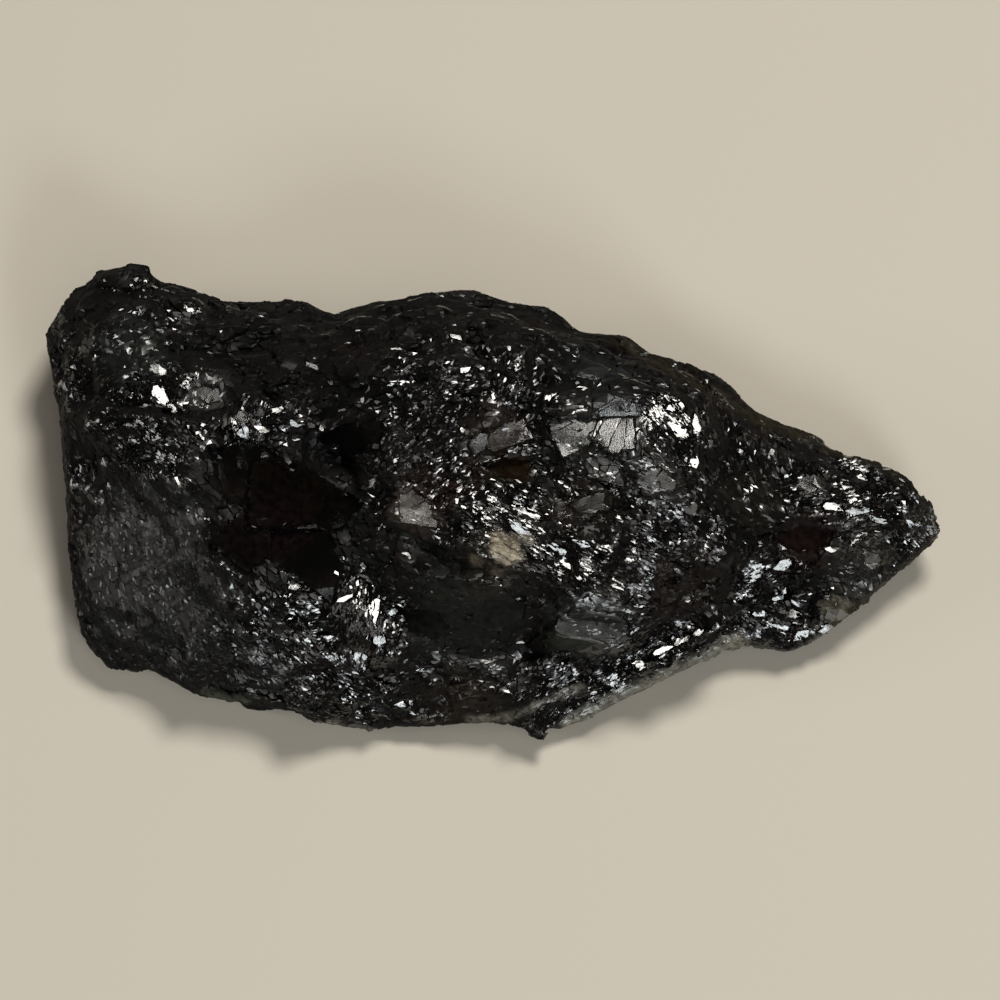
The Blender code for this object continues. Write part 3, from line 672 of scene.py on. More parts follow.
def triple(name, description, default, **more):
    """A setting of three numbers."""
    given = {"name": name, "description": description, "default": default, "size": 3, **more}
    return bpy.props.FloatVectorProperty(**given)


def form_size(name, description, *millimetres):
    """A setting of a size in three directions, kept in metres."""
    return triple(name, description, [part * MM for part in millimetres], **METRES)


# ---------------------------------------------------------------- the zones


def ripple(places, size, seed):
    """A smooth irregular value from -1 to 1, with waves of up to that many millimetres."""
    total = np.zeros(len(places))
    random = np.random.default_rng(seed)
    for step in range(RIPPLE_WAVES):
        direction = unit(random.normal(size=3))
        phase = random.uniform(0, math.tau)
        wave = size * MM / (1 + RIPPLE_FINER * step)
        rise = np.sin(places @ direction * math.tau / wave + phase)
        total += rise / (1 + RIPPLE_LOWER * step)
    return total / RIPPLE_SUM


def ripples(places, kinds):
    """The sum of several ripples, each with its millimetres, its height and its draw."""
    return sum(height * ripple(places, size, draw) for size, height, draw in kinds)


class Zoning:
    """What the zones say at each of a set of places."""

    waver = 0.28  # how far the borders of zones wander, in radii
    falloff = 1.6  # how fast a zone's say fades from its middle
    rest = 0.05  # the say of the rest of the stone
    farthest = 1.9  # radii beyond which no zone's grain holds

    def __init__(self, places, normals):
        zones = list(ZONES.values())
        seen = [sighted(*zone[:2], 0.6 * zone[2]) for zone in zones]
        centres = np.array([spot for spot, _ in seen])
        radii = np.array([zone[2] for zone in zones]) * MM
        away = np.linalg.norm(places[:, None, :] - centres[None], axis=2) / radii
        shift = np.stack([ripple(places, 7, seed) for seed in range(4)], axis=1)
        away += self.waver * shift[:, np.arange(len(zones)) % 4]
        weight = np.exp(-self.falloff * np.clip(away, 0, None) ** 2)
        total = weight.sum(axis=1) + self.rest
        table = np.array([zone[3:] for zone in zones], float)

        def blended(column):
            return (weight @ table[:, column] + self.rest * REST_OF_STONE[column]) / total

        self.fractures = blended(1)
        self.splinters = blended(2)
        back = ramp(normals[:, 1], BACK_FROM, BACK_SPREAD)
        glint = blended(3) * (1 - back) - back
        clumps = np.clip(CLUMPED[0] + CLUMPED[1] * ripple(places, 3.0, 12), 0, CLUMPED[2])
        self.glint = np.where(glint > 0, np.clip(glint * clumps, 0, 1), glint)
        lamps = np.array([open_lamp(spot, normal) for spot, normal in seen])
        shares = np.stack([weight[:, lamps == name].sum(axis=1) for name in GLINT_LAMPS])
        shares[0] += self.rest
        facings = np.stack([glint_facing(name, places) for name in GLINT_LAMPS])
        self.lit = facings[shares.argmax(axis=0), np.arange(len(places))]
        dark = np.array([dark_facing(normal) for _, normal in seen])
        self.dark = unit(weight @ dark + self.rest * normals)
        far = away.min(axis=1) > self.farthest
        angle = np.radians(np.where(far, REST_OF_STONE[0], table[away.argmin(axis=1), 0]))
        self.along = np.cos(angle)[:, None] * ACROSS + np.sin(angle)[:, None] * UPWARD
        self.beside = np.cross(TOWARDS, self.along)
        self.normals = normals

    def by_grain(self, vectors):
        """The vectors' parts along, beside and through the grain."""
        parts = [(vectors * axis).sum(axis=1) for axis in (self.along, self.beside)]
        return np.stack([*parts, vectors @ TOWARDS], axis=1)

    def laid_down(self, vectors):
        """The vectors' parts that lie in the surface."""
        return vectors - self.normals * (vectors * self.normals).sum(axis=1, keepdims=True)

    def facing(self):
        """Where the broken faces look: between the surface's own normal and the zone's."""
        turn = self.glint[:, None]
        target = np.where(turn > 0, self.lit, self.dark)
        turn = np.sqrt(np.abs(turn))
        return unit(self.normals * (1 - turn) + target * turn)

    def flake_facing(self):
        """Where the small forms look: to the light, as far as they may lean out of the surface."""
        across = self.laid_down(self.lit)
        length = np.maximum(np.linalg.norm(across, axis=1, keepdims=True), 1e-6)
        return unit(self.normals + across * np.minimum(1, STEEPEST_FLAKE / length))

    def lean(self):
        """The slope, by the grain, that turns faces from the surface's normal to their facing."""
        facing = self.facing()
        upright = np.clip((facing * self.normals).sum(axis=1, keepdims=True), LEAST_UPRIGHT, 1)
        slope = -(facing / upright - self.normals)
        steepness = np.linalg.norm(slope, axis=1, keepdims=True)
        return self.by_grain(slope / np.maximum(1, steepness / STEEPEST_LEAN))


def plane_share(places, spot, length, breadth, angle, seed):
    """How far each place lies inside a smooth plane's irregular outline, from 0 to 1."""
    random = np.random.default_rng(seed)
    turn = math.radians(angle)
    along = math.cos(turn) * ACROSS + math.sin(turn) * UPWARD
    beside = np.cross(TOWARDS, along)
    away = (places - spot) / MM
    flat = np.stack((away @ along / length, away @ beside / breadth), axis=1)
    ragged = [ripple(places, PLANE_RIPPLE, draw) for draw in (5, 6)]
    flat += PLANE_RAGGED * np.stack(ragged, axis=1)
    turns = random.uniform(-PLANE_UNEVEN, PLANE_UNEVEN, PLANE_SIDES)
    sides = (np.arange(PLANE_SIDES) + turns) / PLANE_SIDES
    outward = np.stack((np.cos(sides * math.tau), np.sin(sides * math.tau)))
    reach = (flat @ outward / random.uniform(PLANE_SHORTEST, 1.0, PLANE_SIDES)).max(axis=1)
    near = np.abs(away @ TOWARDS) < PLANE_DEPTH
    return ramp(-reach, *PLANE_BRINK) * near


def cut_planes(places, normals):
    """Move the places within each smooth plane onto it, along the line of sight.

    Also gives how smooth each place then is, how dark and polished, and how exactly it is aimed.
    """
    smooth, polish, exact = np.zeros((3, len(places)))
    planes = [*PLANES.values()]
    planes += [(*glint, "lit", 0, 0, GLINT_LIFT) for glint in GLINTS.values()]
    for seed, plane in enumerate(planes):
        across, up, length, breadth, angle, aim, right, back, lift = plane
        spot, normal = sighted(across, up, 0.8 * breadth)
        share = plane_share(places, spot, length, breadth, angle, seed)
        share = share * (normals @ TOWARDS > 0.1)
        if aim == "dark":
            facing = dark_facing(normal)
        else:
            facing = glint_facing(open_lamp(spot, normal) if aim == "lit" else aim, spot)
        turned = (math.tan(math.radians(right)), math.tan(math.radians(back)), 0.0)
        facing = unit(facing / facing[2] + turned)
        rise = -((places - spot) @ facing) / (TOWARDS @ facing) + lift * MM
        rise = np.clip(rise, -PLANE_CUT * MM, PLANE_CUT * MM)
        places = places + (share * rise)[:, None] * TOWARDS
        smooth = np.maximum(smooth, share * (SHEEN_SMOOTH if aim == "sheen" else 1))
        polish = np.maximum(polish, share * (aim == "dark"))
        exact = np.maximum(exact, share * (seed >= len(PLANES) or aim == "dark"))
    return places, smooth, polish, exact


def coated(coat, covers, colour, dull):
    """The coat of colour, strength and dullness with one more laid over it."""
    covers = covers[:, None]
    return coat * (1 - covers) + covers * np.array((*colour, 1.0, dull))


def paint(mesh, places, normals):
    """Keep on the mesh the colours of the coloured places and edge lines, some painted sheen and
    reflections; how dull they are.
    """
    coat = np.zeros((len(places), 5))
    for across, up, radius, colour, strength, dull in TINTS.values():
        middle, _ = sighted(across, up, 0.5 * radius)
        away = np.linalg.norm(places - middle, axis=1) / (radius * MM)
        away += ripples(places, TINT_RIPPLES)
        border = min(TINT_BORDER, TINT_BORDER_SHARE * radius)
        covers = strength * np.clip(0.5 + (1 - away) / border, 0, 1)
        coat = coated(coat, covers, colour, dull)
    flat = np.stack((places @ ACROSS, places @ UPWARD), axis=1) / MM
    # pale lines along the lower edges, and painted reflections along the back rims
    for right, up, far_right, far_up, breadth, colour, strength, dull in EDGE_LINES_AND_REFLECTIONS.values():
        run = np.array((far_right - right, far_up - up))
        start = flat - (right, up)
        part = np.clip(start @ run / (run @ run), 0, 1)
        away = np.linalg.norm(start - part[:, None] * run, axis=1) / breadth
        away += ripples(places, EDGE_RIPPLES)
        covers = strength * ramp(-away, *EDGE_BRINK) * (normals @ TOWARDS > 0)
        coat = coated(coat, covers, colour, dull)
    strength = coat[:, 3]
    store(mesh, tint=coat[:, :3] / np.maximum(strength, 1e-6)[:, None], tinted=strength)
    return coat[:, 4]


def write_zones(mesh):
    """Cut the smooth planes, and keep on the mesh what the zones say."""
    places, normals = corners(mesh)
    zones = Zoning(places, normals)
    cut, smooth, polish, exact = cut_planes(places, normals)
    move_corners(mesh, cut)
    _, normals = corners(mesh)
    zones.normals = normals
    glinting = np.clip(zones.glint, 0, 1)
    shaded = np.clip(-1.1 * zones.glint, 0, 1)
    # How far the surface lies in sight, out of sight, across the sight, to the side and the back.
    towards = normals @ TOWARDS
    seen = np.abs(towards)
    hidden = ramp(-towards, *HIDDEN)
    steep = ramp(-towards, *STEEP)
    side = ramp(-normals[:, 2], *SIDEWAYS)
    back = (normals[:, 1] > BACK_FROM) * steep
    low = ramp(places[:, 2], *FRACTURED) * ramp(normals[:, 2], -1.6, 1)
    above = ramp(places[:, 2], *DRESSED)
    coarse = (1 - 0.5 * smooth - 0.45 * exact) * np.clip(seen / 0.45, 0.35, 1)
    fine = (1 - 0.9 * smooth) * np.clip(seen / 0.45, 0.75, 1)
    bearing = (1 - 0.92 * smooth) * ramp(seen, *BEARING)
    sparkle = np.maximum(np.clip(zones.glint, 0.05, 1), 0.16 * hidden)
    satin = steep * np.clip(1 - 1.6 * zones.glint, 0, 1) * (1 - 0.8 * hidden)
    hackle = np.maximum(zones.splinters * (1 - 0.5 * glinting), 0.6 * satin)
    dullness = paint(mesh, places, normals)
    worn = np.maximum(np.maximum(back, side) * (1 - glinting), shaded)
    worn = (worn + 0.35 * ripple(places, 4.0, 10)) * (1 - hidden) - exact * (1 - polish)
    store(
        mesh,
        grain_place=zones.by_grain(places / MM),
        grain_lean=zones.lean() * (low * fine)[:, None],
        fractures=zones.fractures * low * coarse,
        hackle=hackle * low * fine,
        satin=satin - (0.7 * polish + 0.3 * exact) + dullness,
        smooth=smooth * (1 - 0.65 * exact),
        weathered=np.maximum(worn, polish),
        flakes=np.sqrt(zones.splinters) * sparkle * above * bearing,
        splinters=zones.splinters**2 * sparkle * above * bearing,
        stray=1.5 - 0.9 * glinting + 2 * hidden,
        grain=unit(zones.laid_down(zones.along)),
        facing=zones.flake_facing(),
    )


# ---------------------------------------------------------------- the broken stone


def fracture_tree():
    """Geometry Nodes: cells along the grain, each a flat facet with its own height and lean."""
    names = [f"{layer} {part}" for layer in FRACTURES for part in FRACTURE_PARTS]
    kinds = [*FRACTURE_PARTS.values()] * len(FRACTURES)
    tree, given = new_tree("Hackly Fracture", {**dict(zip(names, kinds)), "Seed": "Float"})
    place = field(tree, "grain_place", "FLOAT_VECTOR")
    lean = field(tree, "grain_lean", "FLOAT_VECTOR")
    strengths = [field(tree, name) for name in ("fractures", "hackle", "hackle")]
    total = 0.0
    for number, (layer, strength) in enumerate(zip(FRACTURES, strengths)):
        cell, step, slope, turn = (given[f"{layer} {part}"] for part in FRACTURE_PARTS)
        seed = summed(tree, given["Seed"], LAYER_SEED * number)
        shift = add(tree, "ShaderNodeCombineXYZ", {0: seed, 1: seed, 2: seed}).outputs[0]
        inside = vector_math(tree, "ADD", vector_math(tree, "DIVIDE", place, cell), shift)
        cells = add(tree, "ShaderNodeTexVoronoi", {"Vector": inside, "Scale": 1.0}).outputs
        centre = cells["Position"]
        away = vector_math(tree, "MULTIPLY", vector_math(tree, "SUBTRACT", inside, centre), cell)
        drawn = vector_math(tree, "SUBTRACT", cells["Color"], (0.5, 0.5, 0.5))
        random_lean = multiplied(tree, vector_math(tree, "DOT_PRODUCT", away, drawn), slope)
        height = add(tree, "ShaderNodeTexWhiteNoise", {"Vector": centre}).outputs["Value"]
        random_step = multiplied(tree, scalar_math(tree, "SUBTRACT", height, 0.5), step)
        random_rise = multiplied(tree, summed(tree, random_lean, random_step), strength)
        turned = multiplied(tree, vector_math(tree, "DOT_PRODUCT", away, lean), turn)
        total = summed(tree, total, summed(tree, random_rise, turned))
    normal = tree.nodes.new("GeometryNodeInputNormal").outputs[0]
    offset = scaled(tree, normal, multiplied(tree, total, MM))
    moved = {"Geometry": given["Geometry"], "Offset": offset}
    broken = add(tree, "GeometryNodeSetPosition", moved).outputs[0]
    return end_tree(tree, broken, given["Material"])


def welded_stone():
    """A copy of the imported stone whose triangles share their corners."""
    mesh = frame["nodes"][NODE].data.copy()
    built = bmesh.new()
    built.from_mesh(mesh)
    bmesh.ops.remove_doubles(built, verts=built.verts, dist=1e-6)
    built.to_mesh(mesh)
    built.free()
    mesh.materials.clear()
    return mesh


def soften(mesh, rounds):
    """Take the sharp steps out of the stone's coarse facets, before finer ones are broken in."""
    places, _ = corners(mesh)
    ends = read(mesh.edges, "vertices", np.int32)
    first, second = ends.reshape(-1, 2).T
    total = len(places)
    links = np.bincount(ends, minlength=total)
    for _ in range(rounds):
        around = [
            np.bincount(first, places[second, axis], total)
            + np.bincount(second, places[first, axis], total)
            for axis in range(3)
        ]
        places = np.stack(around, axis=1) / links[:, None]
    move_corners(mesh, places)


def weather(mesh, material):
    """Give the weathered faces their own finish."""
    mesh.materials.append(material)
    worn = read(mesh.attributes["weathered"].data, "value") > 0.5
    first_corners = read(mesh.loops, "vertex_index", np.int32)
    first_corners = first_corners[read(mesh.polygons, "loop_start", np.int32)]
    mesh.polygons.foreach_set("material_index", worn[first_corners].astype(np.int32))


class StoneSettings(bpy.types.PropertyGroup):
    """The broken faces of the stone."""

    grid: amount(
        "Working Grid", "Spacing of the grid that is broken", 0.19 * MM, min=0.1 * MM, **METRES
    )
    softening: count("Softening", "Rounds of softening of the coarse facets", 14)
    triangles: count("Triangles", "Number of facets of the finished stone", 196000)
    coarse_cell: triple("Coarse Facet", f"{FACET} coarse facet", (5.4, 2.4, 3.0))
    medium_cell: triple("Medium Facet", f"{FACET} medium facet", (3.0, 1.2, 1.5))
    fine_cell: triple("Fine Facet", f"{FACET} fine facet", (1.5, 0.5, 0.6))
    crease: amount("Crease", "Edges that bend by more than this many degrees are sharp", 14.0)
    seed: amount("Seed", "Draws other fractures", 4.1)


class TOURMALINE_OT_break_stone(bpy.types.Operator):
    """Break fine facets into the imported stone, along the grain of each zone"""

    bl_idname = "tourmaline.break_stone"
    bl_label = "Break Stone"

    def execute(self, context):
        settings = context.scene.tourmaline_stone
        colours = context.scene.tourmaline_colours
        stone = linked(STONE, welded_stone())
        remesh = stone.modifiers.new("Even Grid", "REMESH")
        remesh.mode = "VOXEL"
        remesh.voxel_size = settings.grid
        freeze(stone)
        soften(stone.data, settings.softening)
        write_zones(stone.data)
        values = {"Seed": settings.seed, "Material": schorl(colours)}
        for layer, numbers in FRACTURES.items():
            cell = getattr(settings, f"{layer.lower()}_cell")
            values.update(zip([f"{layer} {part}" for part in FRACTURE_PARTS], (cell, *numbers)))
        use_tree(stone, fracture_tree(), values)
        thin = stone.modifiers.new("Facets", "DECIMATE")
        thin.ratio = min(1.0, settings.triangles / (2 * len(stone.data.polygons)))
        freeze(stone)
        places, _ = corners(stone.data)
        places[:, 2] = np.maximum(places[:, 2], 0)
        move_corners(stone.data, places)
        weather(stone.data, schorl(colours, weathered=True))
        shade(stone.data, settings.crease)
        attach(stone, BODY)
        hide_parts(NODE)
        return {"FINISHED"}


# ---------------------------------------------------------------- flakes and splinters


def closed(name, built):
    """A mesh of the form, in triangles that face outwards."""
    bmesh.ops.triangulate(built, faces=built.faces)
    bmesh.ops.recalc_face_normals(built, faces=built.faces)
    mesh = bpy.data.meshes.new(name)
    built.to_mesh(mesh)
    built.free()
    return mesh


def splinter_form(name, ends):
    """A three-sided splinter of unit size with oblique broken ends."""
    built = bmesh.new()
    rings = []
    for side, slants in zip((-0.5, 0.5), ends):
        places = [(side + slant, *corner) for slant, corner in zip(slants, SPLINTER_SECTION)]
        rings.append([built.verts.new(place) for place in places])
    for i in range(3):
        j = (i + 1) % 3
        built.faces.new([rings[0][i], rings[1][i], rings[1][j], rings[0][j]])
    for ring in rings:
        built.faces.new(ring)
    return closed(name, built)


def flake_form(name, seed):
    """A flat irregular flake of unit size whose sides widen downwards."""
    random = np.random.default_rng(seed)
    turns = random.uniform(-FLAKE_UNEVEN, FLAKE_UNEVEN, FLAKE_SIDES) + np.arange(FLAKE_SIDES)
    angles = turns * math.tau / FLAKE_SIDES
    reach = random.uniform(*FLAKE_REACH, FLAKE_SIDES)
    built = bmesh.new()
    top = [built.verts.new((r * math.cos(a), r * math.sin(a), 0)) for a, r in zip(angles, reach)]
    foot = [built.verts.new((v.co.x * FLAKE_FOOT, v.co.y * FLAKE_FOOT, -1)) for v in top]
    built.faces.new(top)
    built.faces.new(list(reversed(foot)))
    for i in range(FLAKE_SIDES):
        j = (i + 1) % FLAKE_SIDES
        built.faces.new([top[j], top[i], foot[i], foot[j]])
    return closed(name, built)


def setting_tree(share):
    """Geometry Nodes: small forms set into a surface, along its grain and facing as it says."""
    sockets = {"Forms": "Collection", "Density": "Float", "Smallest": "Vector"}
    sockets.update({"Largest": "Vector", "Stray": "Float", "Stand Out": "Float", "Seed": "Int"})
    tree, given = new_tree(f"Set {share.title()}", sockets)

    def drawn(low, high, seed):
        inputs = {0: low, 1: high, "Seed": summed(tree, given["Seed"], seed)}
        made = add(tree, "FunctionNodeRandomValue", inputs, data_type="FLOAT_VECTOR")
        return made.outputs["Value"]

    def aligned(vector, rotation=None, **axes):
        inputs = {"Vector": vector, **({"Rotation": rotation} if rotation else {})}
        return add(tree, "FunctionNodeAlignRotationToVector", inputs, **axes).outputs[0]

    density = multiplied(tree, field(tree, share), given["Density"])
    spread = {"Mesh": given["Geometry"], "Density": density, "Seed": given["Seed"]}
    points = add(tree, "GeometryNodeDistributePointsOnFaces", spread).outputs["Points"]
    stray = multiplied(tree, given["Stray"], field(tree, "stray"))
    wander, roll = (scaled(tree, drawn((-1, -1, -1), (1, 1, 1), n), stray) for n in (1, 2))
    facing = field(tree, "facing", "FLOAT_VECTOR")
    grain = vector_math(tree, "ADD", field(tree, "grain", "FLOAT_VECTOR"), wander)
    along = aligned(grain, axis="X")
    turned = aligned(vector_math(tree, "ADD", facing, roll), along, axis="Z", pivot_axis="X")
    raised = {"Geometry": points, "Offset": scaled(tree, facing, given["Stand Out"])}
    forms = {"Collection": given["Forms"], "Separate Children": True, "Reset Children": True}
    pick = add(tree, "FunctionNodeRandomValue", {4: 0, 5: MOST_FORMS}, data_type="INT")
    placed = {
        "Points": add(tree, "GeometryNodeSetPosition", raised).outputs[0],
        "Instance": add(tree, "GeometryNodeCollectionInfo", forms).outputs[0],
        "Pick Instance": True,
        "Instance Index": pick.outputs[2],
        "Rotation": turned,
        "Scale": drawn(given["Smallest"], given["Largest"], 3),
    }
    built = add(tree, "GeometryNodeInstanceOnPoints", placed).outputs[0]
    return end_tree(tree, built, given["Material"])


class FlakeSettings(bpy.types.PropertyGroup):
    """The crisp flake scars in the broken faces."""

    density: amount("Density", "Flakes per square millimetre where a zone is full of them", 11.5)
    smallest: form_size("Smallest", f"{FORM} small flake", 0.25, 0.16, 0.2)
    largest: form_size("Largest", f"{FORM} large flake", 1.2, 0.55, 0.4)
    stray: amount("Stray", "How far a flake strays from its zone's grain and facing", 0.1)
    stand_out: amount("Stand Out", "Height of a flake over the stone", 0.05 * MM, **METRES)
    seed: count("Seed", "Draws other flakes", 21)


class SplinterSettings(bpy.types.PropertyGroup):
    """The fine splinters that stand in the broken faces."""

    density: amount("Density", "Splinters per square millimetre where a zone is full of them", 2.4)
    smallest: form_size("Smallest", f"{FORM} small splinter", 0.5, 0.14, 0.16)
    largest: form_size("Largest", f"{FORM} large splinter", 1.4, 0.28, 0.3)
    stray: amount("Stray", "How far a splinter strays from its zone's grain and facing", 0.2)
    stand_out: amount("Stand Out", "Height of a splinter over the stone", 0.05 * MM, **METRES)
    seed: count("Seed", "Draws other splinters", 7)


def bearing_faces(stone, low, high):
    """The part of the stone between two distances along it."""
    mesh = stone.data.copy()
    built = bmesh.new()
    built.from_mesh(mesh)
    outside = [f for f in built.faces if not low * MM <= f.calc_center_median().x < high * MM]
    bmesh.ops.delete(built, geom=outside, context="FACES")
    built.to_mesh(mesh)
    built.free()
    return mesh


def set_forms(context, kind, meshes, pieces):
    """Set small forms of one kind into the stone, in one piece for each part of its length."""
    settings = getattr(context.scene, f"tourmaline_{kind}")
    stone = bpy.data.objects[STONE]
    forms = bpy.data.collections.new(kind)
    for mesh in meshes:
        forms.objects.link(bpy.data.objects.new(mesh.name, mesh))
    tree = setting_tree(kind)
    for number, (name, span) in enumerate(pieces.items()):
        piece = linked(name, bearing_faces(stone, *span))
        values = {
            "Forms": forms,
            "Density": settings.density / MM**2,
            "Smallest": settings.smallest,
            "Largest": settings.largest,
            "Stray": settings.stray,
            "Stand Out": settings.stand_out,
            "Seed": settings.seed + number,
            "Material": schorl(context.scene.tourmaline_colours),
        }
        use_tree(piece, tree, values)
        freeze(piece)
        shade(piece.data, 0)
        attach(piece, BODY)
    for form in list(forms.objects):
        bpy.data.objects.remove(form)
    for mesh in meshes:
        bpy.data.meshes.remove(mesh)
    bpy.data.collections.remove(forms)


class TOURMALINE_OT_add_flakes(bpy.types.Operator):
    """Set crisp flake scars into the broken faces, along the grain"""

    bl_idname = "tourmaline.add_flakes"
    bl_label = "Add Flakes"

    def execute(self, context):
        meshes = [flake_form(f"flake_{i}", i) for i in range(FLAKE_FORMS)]
        set_forms(context, "flakes", meshes, FLAKE_PIECES)
        return {"FINISHED"}


class TOURMALINE_OT_add_splinters(bpy.types.Operator):
    """Set fine splinters into the broken faces, along the grain"""

    bl_idname = "tourmaline.add_splinters"
    bl_label = "Add Splinters"

    def execute(self, context):
        meshes = [splinter_form(f"splinter_{i}", ends) for i, ends in enumerate(SPLINTER_ENDS)]
        set_forms(context, "splinters", meshes, SPLINTER_PIECES)
        return {"FINISHED"}


# ---------------------------------------------------------------- the finish


class ColourSettings(bpy.types.PropertyGroup):
    """Colours and gloss of the schorl."""

    body: triple("Body", "The stone's own near black", (0.0019, 0.0018, 0.0017), **COLOUR)
    brown: triple("Brown Shade", "The brown of its clouds", (0.007, 0.0045, 0.004), **COLOUR)
    gloss: amount("Roughness", "Roughness of a clean broken face", 0.125, **SHARE)
    skin: amount("Weathered Roughness", "Roughness of a weathered face", 0.38, **SHARE)


def schorl(colours, weathered=False):
    """Black schorl, glassy or weathered: brown clouds, tints, fine chatter and grain lines."""
    name = "schorl_weathered" if weathered else "schorl_broken"
    if name in bpy.data.materials:
        return bpy.data.materials[name]
    material = bpy.data.materials.new(name)
    material.use_nodes = True
    tree = material.node_tree
    shader = tree.nodes["Principled BSDF"]
    place = tree.nodes.new("ShaderNodeTexCoord").outputs["Object"]
    cloud = noise(tree, place, *CLOUDS)
    brown = mapped(tree, cloud, *BROWN_CLOUDS)
    colour = mixed(tree, brown, (*colours.body, 1), (*colours.brown, 1))
    mottling = mapped(tree, noise(tree, place, *SPECKS), *MOTTLING)
    tint = scaled(tree, kept(tree, "tint", "Vector"), mottling)
    colour = mixed(tree, kept(tree, "tinted"), colour, tint)
    tree.links.new(colour, shader.inputs["Base Color"])
    cells = add(tree, "ShaderNodeTexVoronoi", {"Vector": place, "Scale": CHATTER_CELLS})
    drawn = vector_math(tree, "SUBTRACT", cells.outputs["Color"], (0.5, 0.5, 0.5))
    chatter = scaled(tree, drawn, mapped(tree, kept(tree, "hackle"), 0, 1, *CHATTER))
    normal = tree.nodes.new("ShaderNodeNewGeometry").outputs["Normal"]
    facet = vector_math(tree, "NORMALIZE", vector_math(tree, "ADD", normal, chatter))
    grain = vector_math(tree, "MULTIPLY", kept(tree, "grain_place", "Vector"), GRAIN_LINES)
    lines = {
        "Height": noise(tree, grain, *LINES),
        "Normal": facet,
        "Distance": LINE_HEIGHT,
        "Strength": mapped(tree, kept(tree, "smooth"), 0, 1, *LINE_STRENGTH),
    }
    tree.links.new(add(tree, "ShaderNodeBump", lines).outputs[0], shader.inputs["Normal"])
    gloss = colours.skin if weathered else colours.gloss
    rough = mapped(tree, cloud, *DULL_CLOUDS, gloss, gloss + DULLING)
    dull = multiplied(tree, kept(tree, "satin"), SATIN_ROUGHNESS)
    tree.links.new(summed(tree, rough, dull), shader.inputs["Roughness"])
    shader.inputs["IOR"].default_value = SCHORL_IOR
    specular = WEATHERED_SPECULAR if weathered else BROKEN_SPECULAR
    shader.inputs["Specular IOR Level"].default_value = specular
    return material


# ---------------------------------------------------------------- the stage


class StageSettings(bpy.types.PropertyGroup):
    """Floor, lights and camera."""

    floor: triple("Floor", "Colour of the plain floor", (0.66, 0.61, 0.525), **COLOUR)
    power: amount("Power", "Power of the main light", 4.75, unit="POWER")
    room: amount("Room", "Brightness of the room around", 0.035)
    lens: amount("Lens", "Focal length", LENS, unit="CAMERA")


def area_light(name, direction, distance, size, power, colour):
    """A soft round lamp that looks at the stone."""
    lamp = bpy.data.lights.new(name, "AREA")
    lamp.shape = "DISK"
    lamp.size = size
    lamp.energy = power
    lamp.color = colour
    made = linked(name, lamp)
    where = Vector(direction).normalized()
    made.location = where * distance
    made.rotation_euler = where.to_track_quat("Z", "Y").to_euler()


def plain_floor(colour):
    """A wide, pale, matt floor just under the stone."""
    half = FLOOR_SIZE / 2
    mesh = bpy.data.meshes.new("floor")
    ends = ((-half, -half, 0), (half, -half, 0), (half, half, 0), (-half, half, 0))
    mesh.from_pydata(ends, [], [(0, 1, 2, 3)])
    material = bpy.data.materials.new("pale_floor")
    material.use_nodes = True
    shader = material.node_tree.nodes["Principled BSDF"]
    shader.inputs["Base Color"].default_value = (*colour, 1)
    shader.inputs["Roughness"].default_value = 0.6
    shader.inputs["Specular IOR Level"].default_value = 0.2
    mesh.materials.append(material)
    floor = linked("floor", mesh)
    floor.location.z = -FLOOR_GAP
    return floor


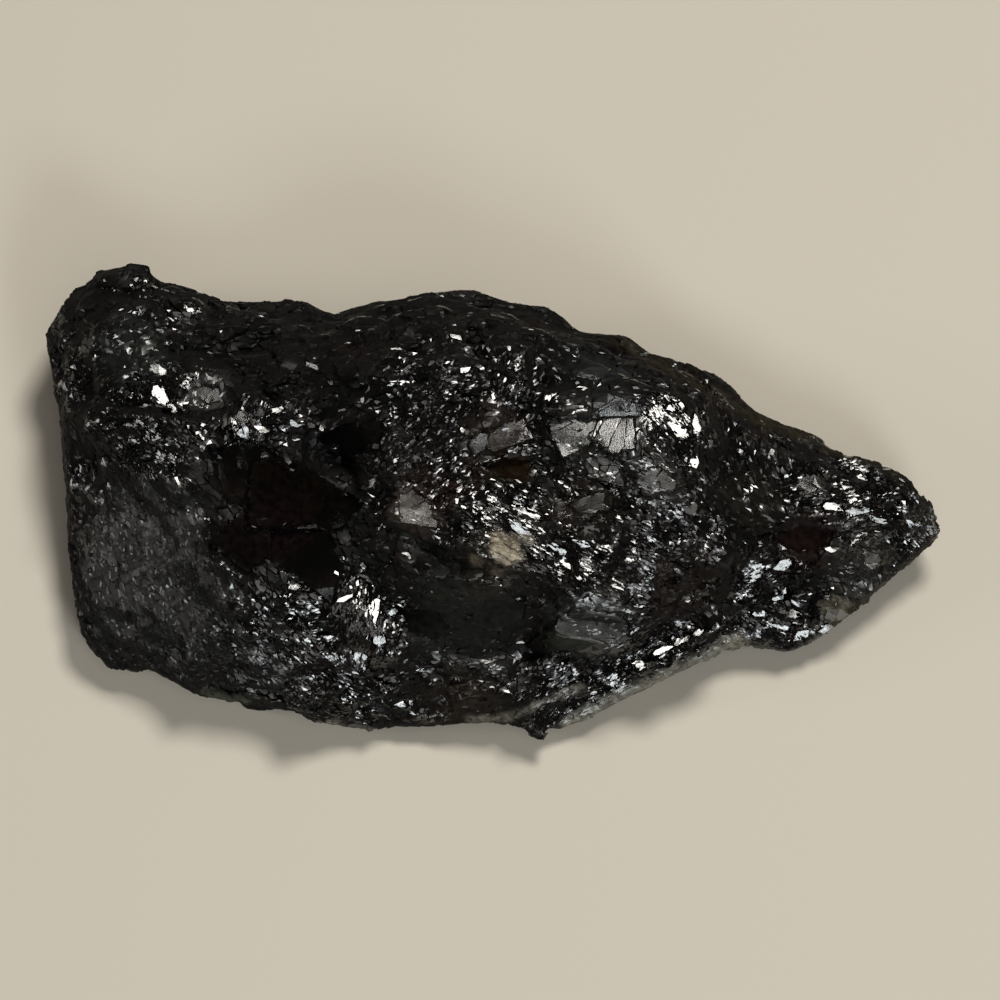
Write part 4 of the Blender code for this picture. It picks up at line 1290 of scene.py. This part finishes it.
class TOURMALINE_OT_set_stage(bpy.types.Operator):
    """Lay the floor, hang the lights and set up the camera"""

    bl_idname = "tourmaline.set_stage"
    bl_label = "Set Stage"

    def execute(self, context):
        settings = context.scene.tourmaline_stage
        floor = plain_floor(settings.floor)
        for name, (direction, distance, size, share, colour) in LAMPS.items():
            area_light(name, direction, distance, size, share * settings.power, colour)
        world = bpy.data.worlds.new("room")
        world.use_nodes = True
        room = world.node_tree.nodes["Background"]
        room.inputs["Color"].default_value = ROOM_COLOUR
        room.inputs["Strength"].default_value = settings.room
        context.scene.world = world
        camera = linked("camera", bpy.data.cameras.new("camera"))
        camera.data.lens = settings.lens
        camera.data.sensor_width = SENSOR
        camera.data.clip_start = 0.01
        camera.location = eye(settings.lens)
        camera.rotation_euler = (math.pi / 2 - SIGHT_ELEVATION, 0, 0)
        context.scene.camera = camera
        context.scene.view_settings.view_transform = "Standard"
        return {"FINISHED"}


class TOURMALINE_PT_panel(bpy.types.Panel):
    """Everything that dresses the stone"""

    bl_idname = "TOURMALINE_PT_panel"
    bl_label = "Tourmaline"
    bl_space_type = "VIEW_3D"
    bl_region_type = "UI"
    bl_category = "Tourmaline"

    def draw(self, context):
        for group in SETTINGS:
            box = self.layout.box()
            values = getattr(context.scene, group)
            for key in values.bl_rna.properties.keys():
                if key not in {"rna_type", "name"}:
                    box.prop(values, key)
        for step in STEPS:
            self.layout.operator(step.bl_idname)


SETTINGS = {
    "tourmaline_stone": StoneSettings,
    "tourmaline_flakes": FlakeSettings,
    "tourmaline_splinters": SplinterSettings,
    "tourmaline_colours": ColourSettings,
    "tourmaline_stage": StageSettings,
}
STEPS = (
    TOURMALINE_OT_break_stone,
    TOURMALINE_OT_add_flakes,
    TOURMALINE_OT_add_splinters,
    TOURMALINE_OT_set_stage,
)
CLASSES = (*SETTINGS.values(), *STEPS, TOURMALINE_PT_panel)


def register():
    """Make the settings, the operators and the panel known."""
    for item in CLASSES:
        bpy.utils.register_class(item)
    for name, group in SETTINGS.items():
        setattr(bpy.types.Scene, name, bpy.props.PointerProperty(type=group))


def unregister():
    """Take them away again."""
    for name in SETTINGS:
        delattr(bpy.types.Scene, name)
    for item in reversed(CLASSES):
        bpy.utils.unregister_class(item)


def main():
    """Make the settings known, dress the stone and set the stage."""
    register()
    bpy.ops.tourmaline.break_stone()
    bpy.ops.tourmaline.add_flakes()
    bpy.ops.tourmaline.add_splinters()
    bpy.ops.tourmaline.set_stage()


if __name__ == "__main__":
    main()
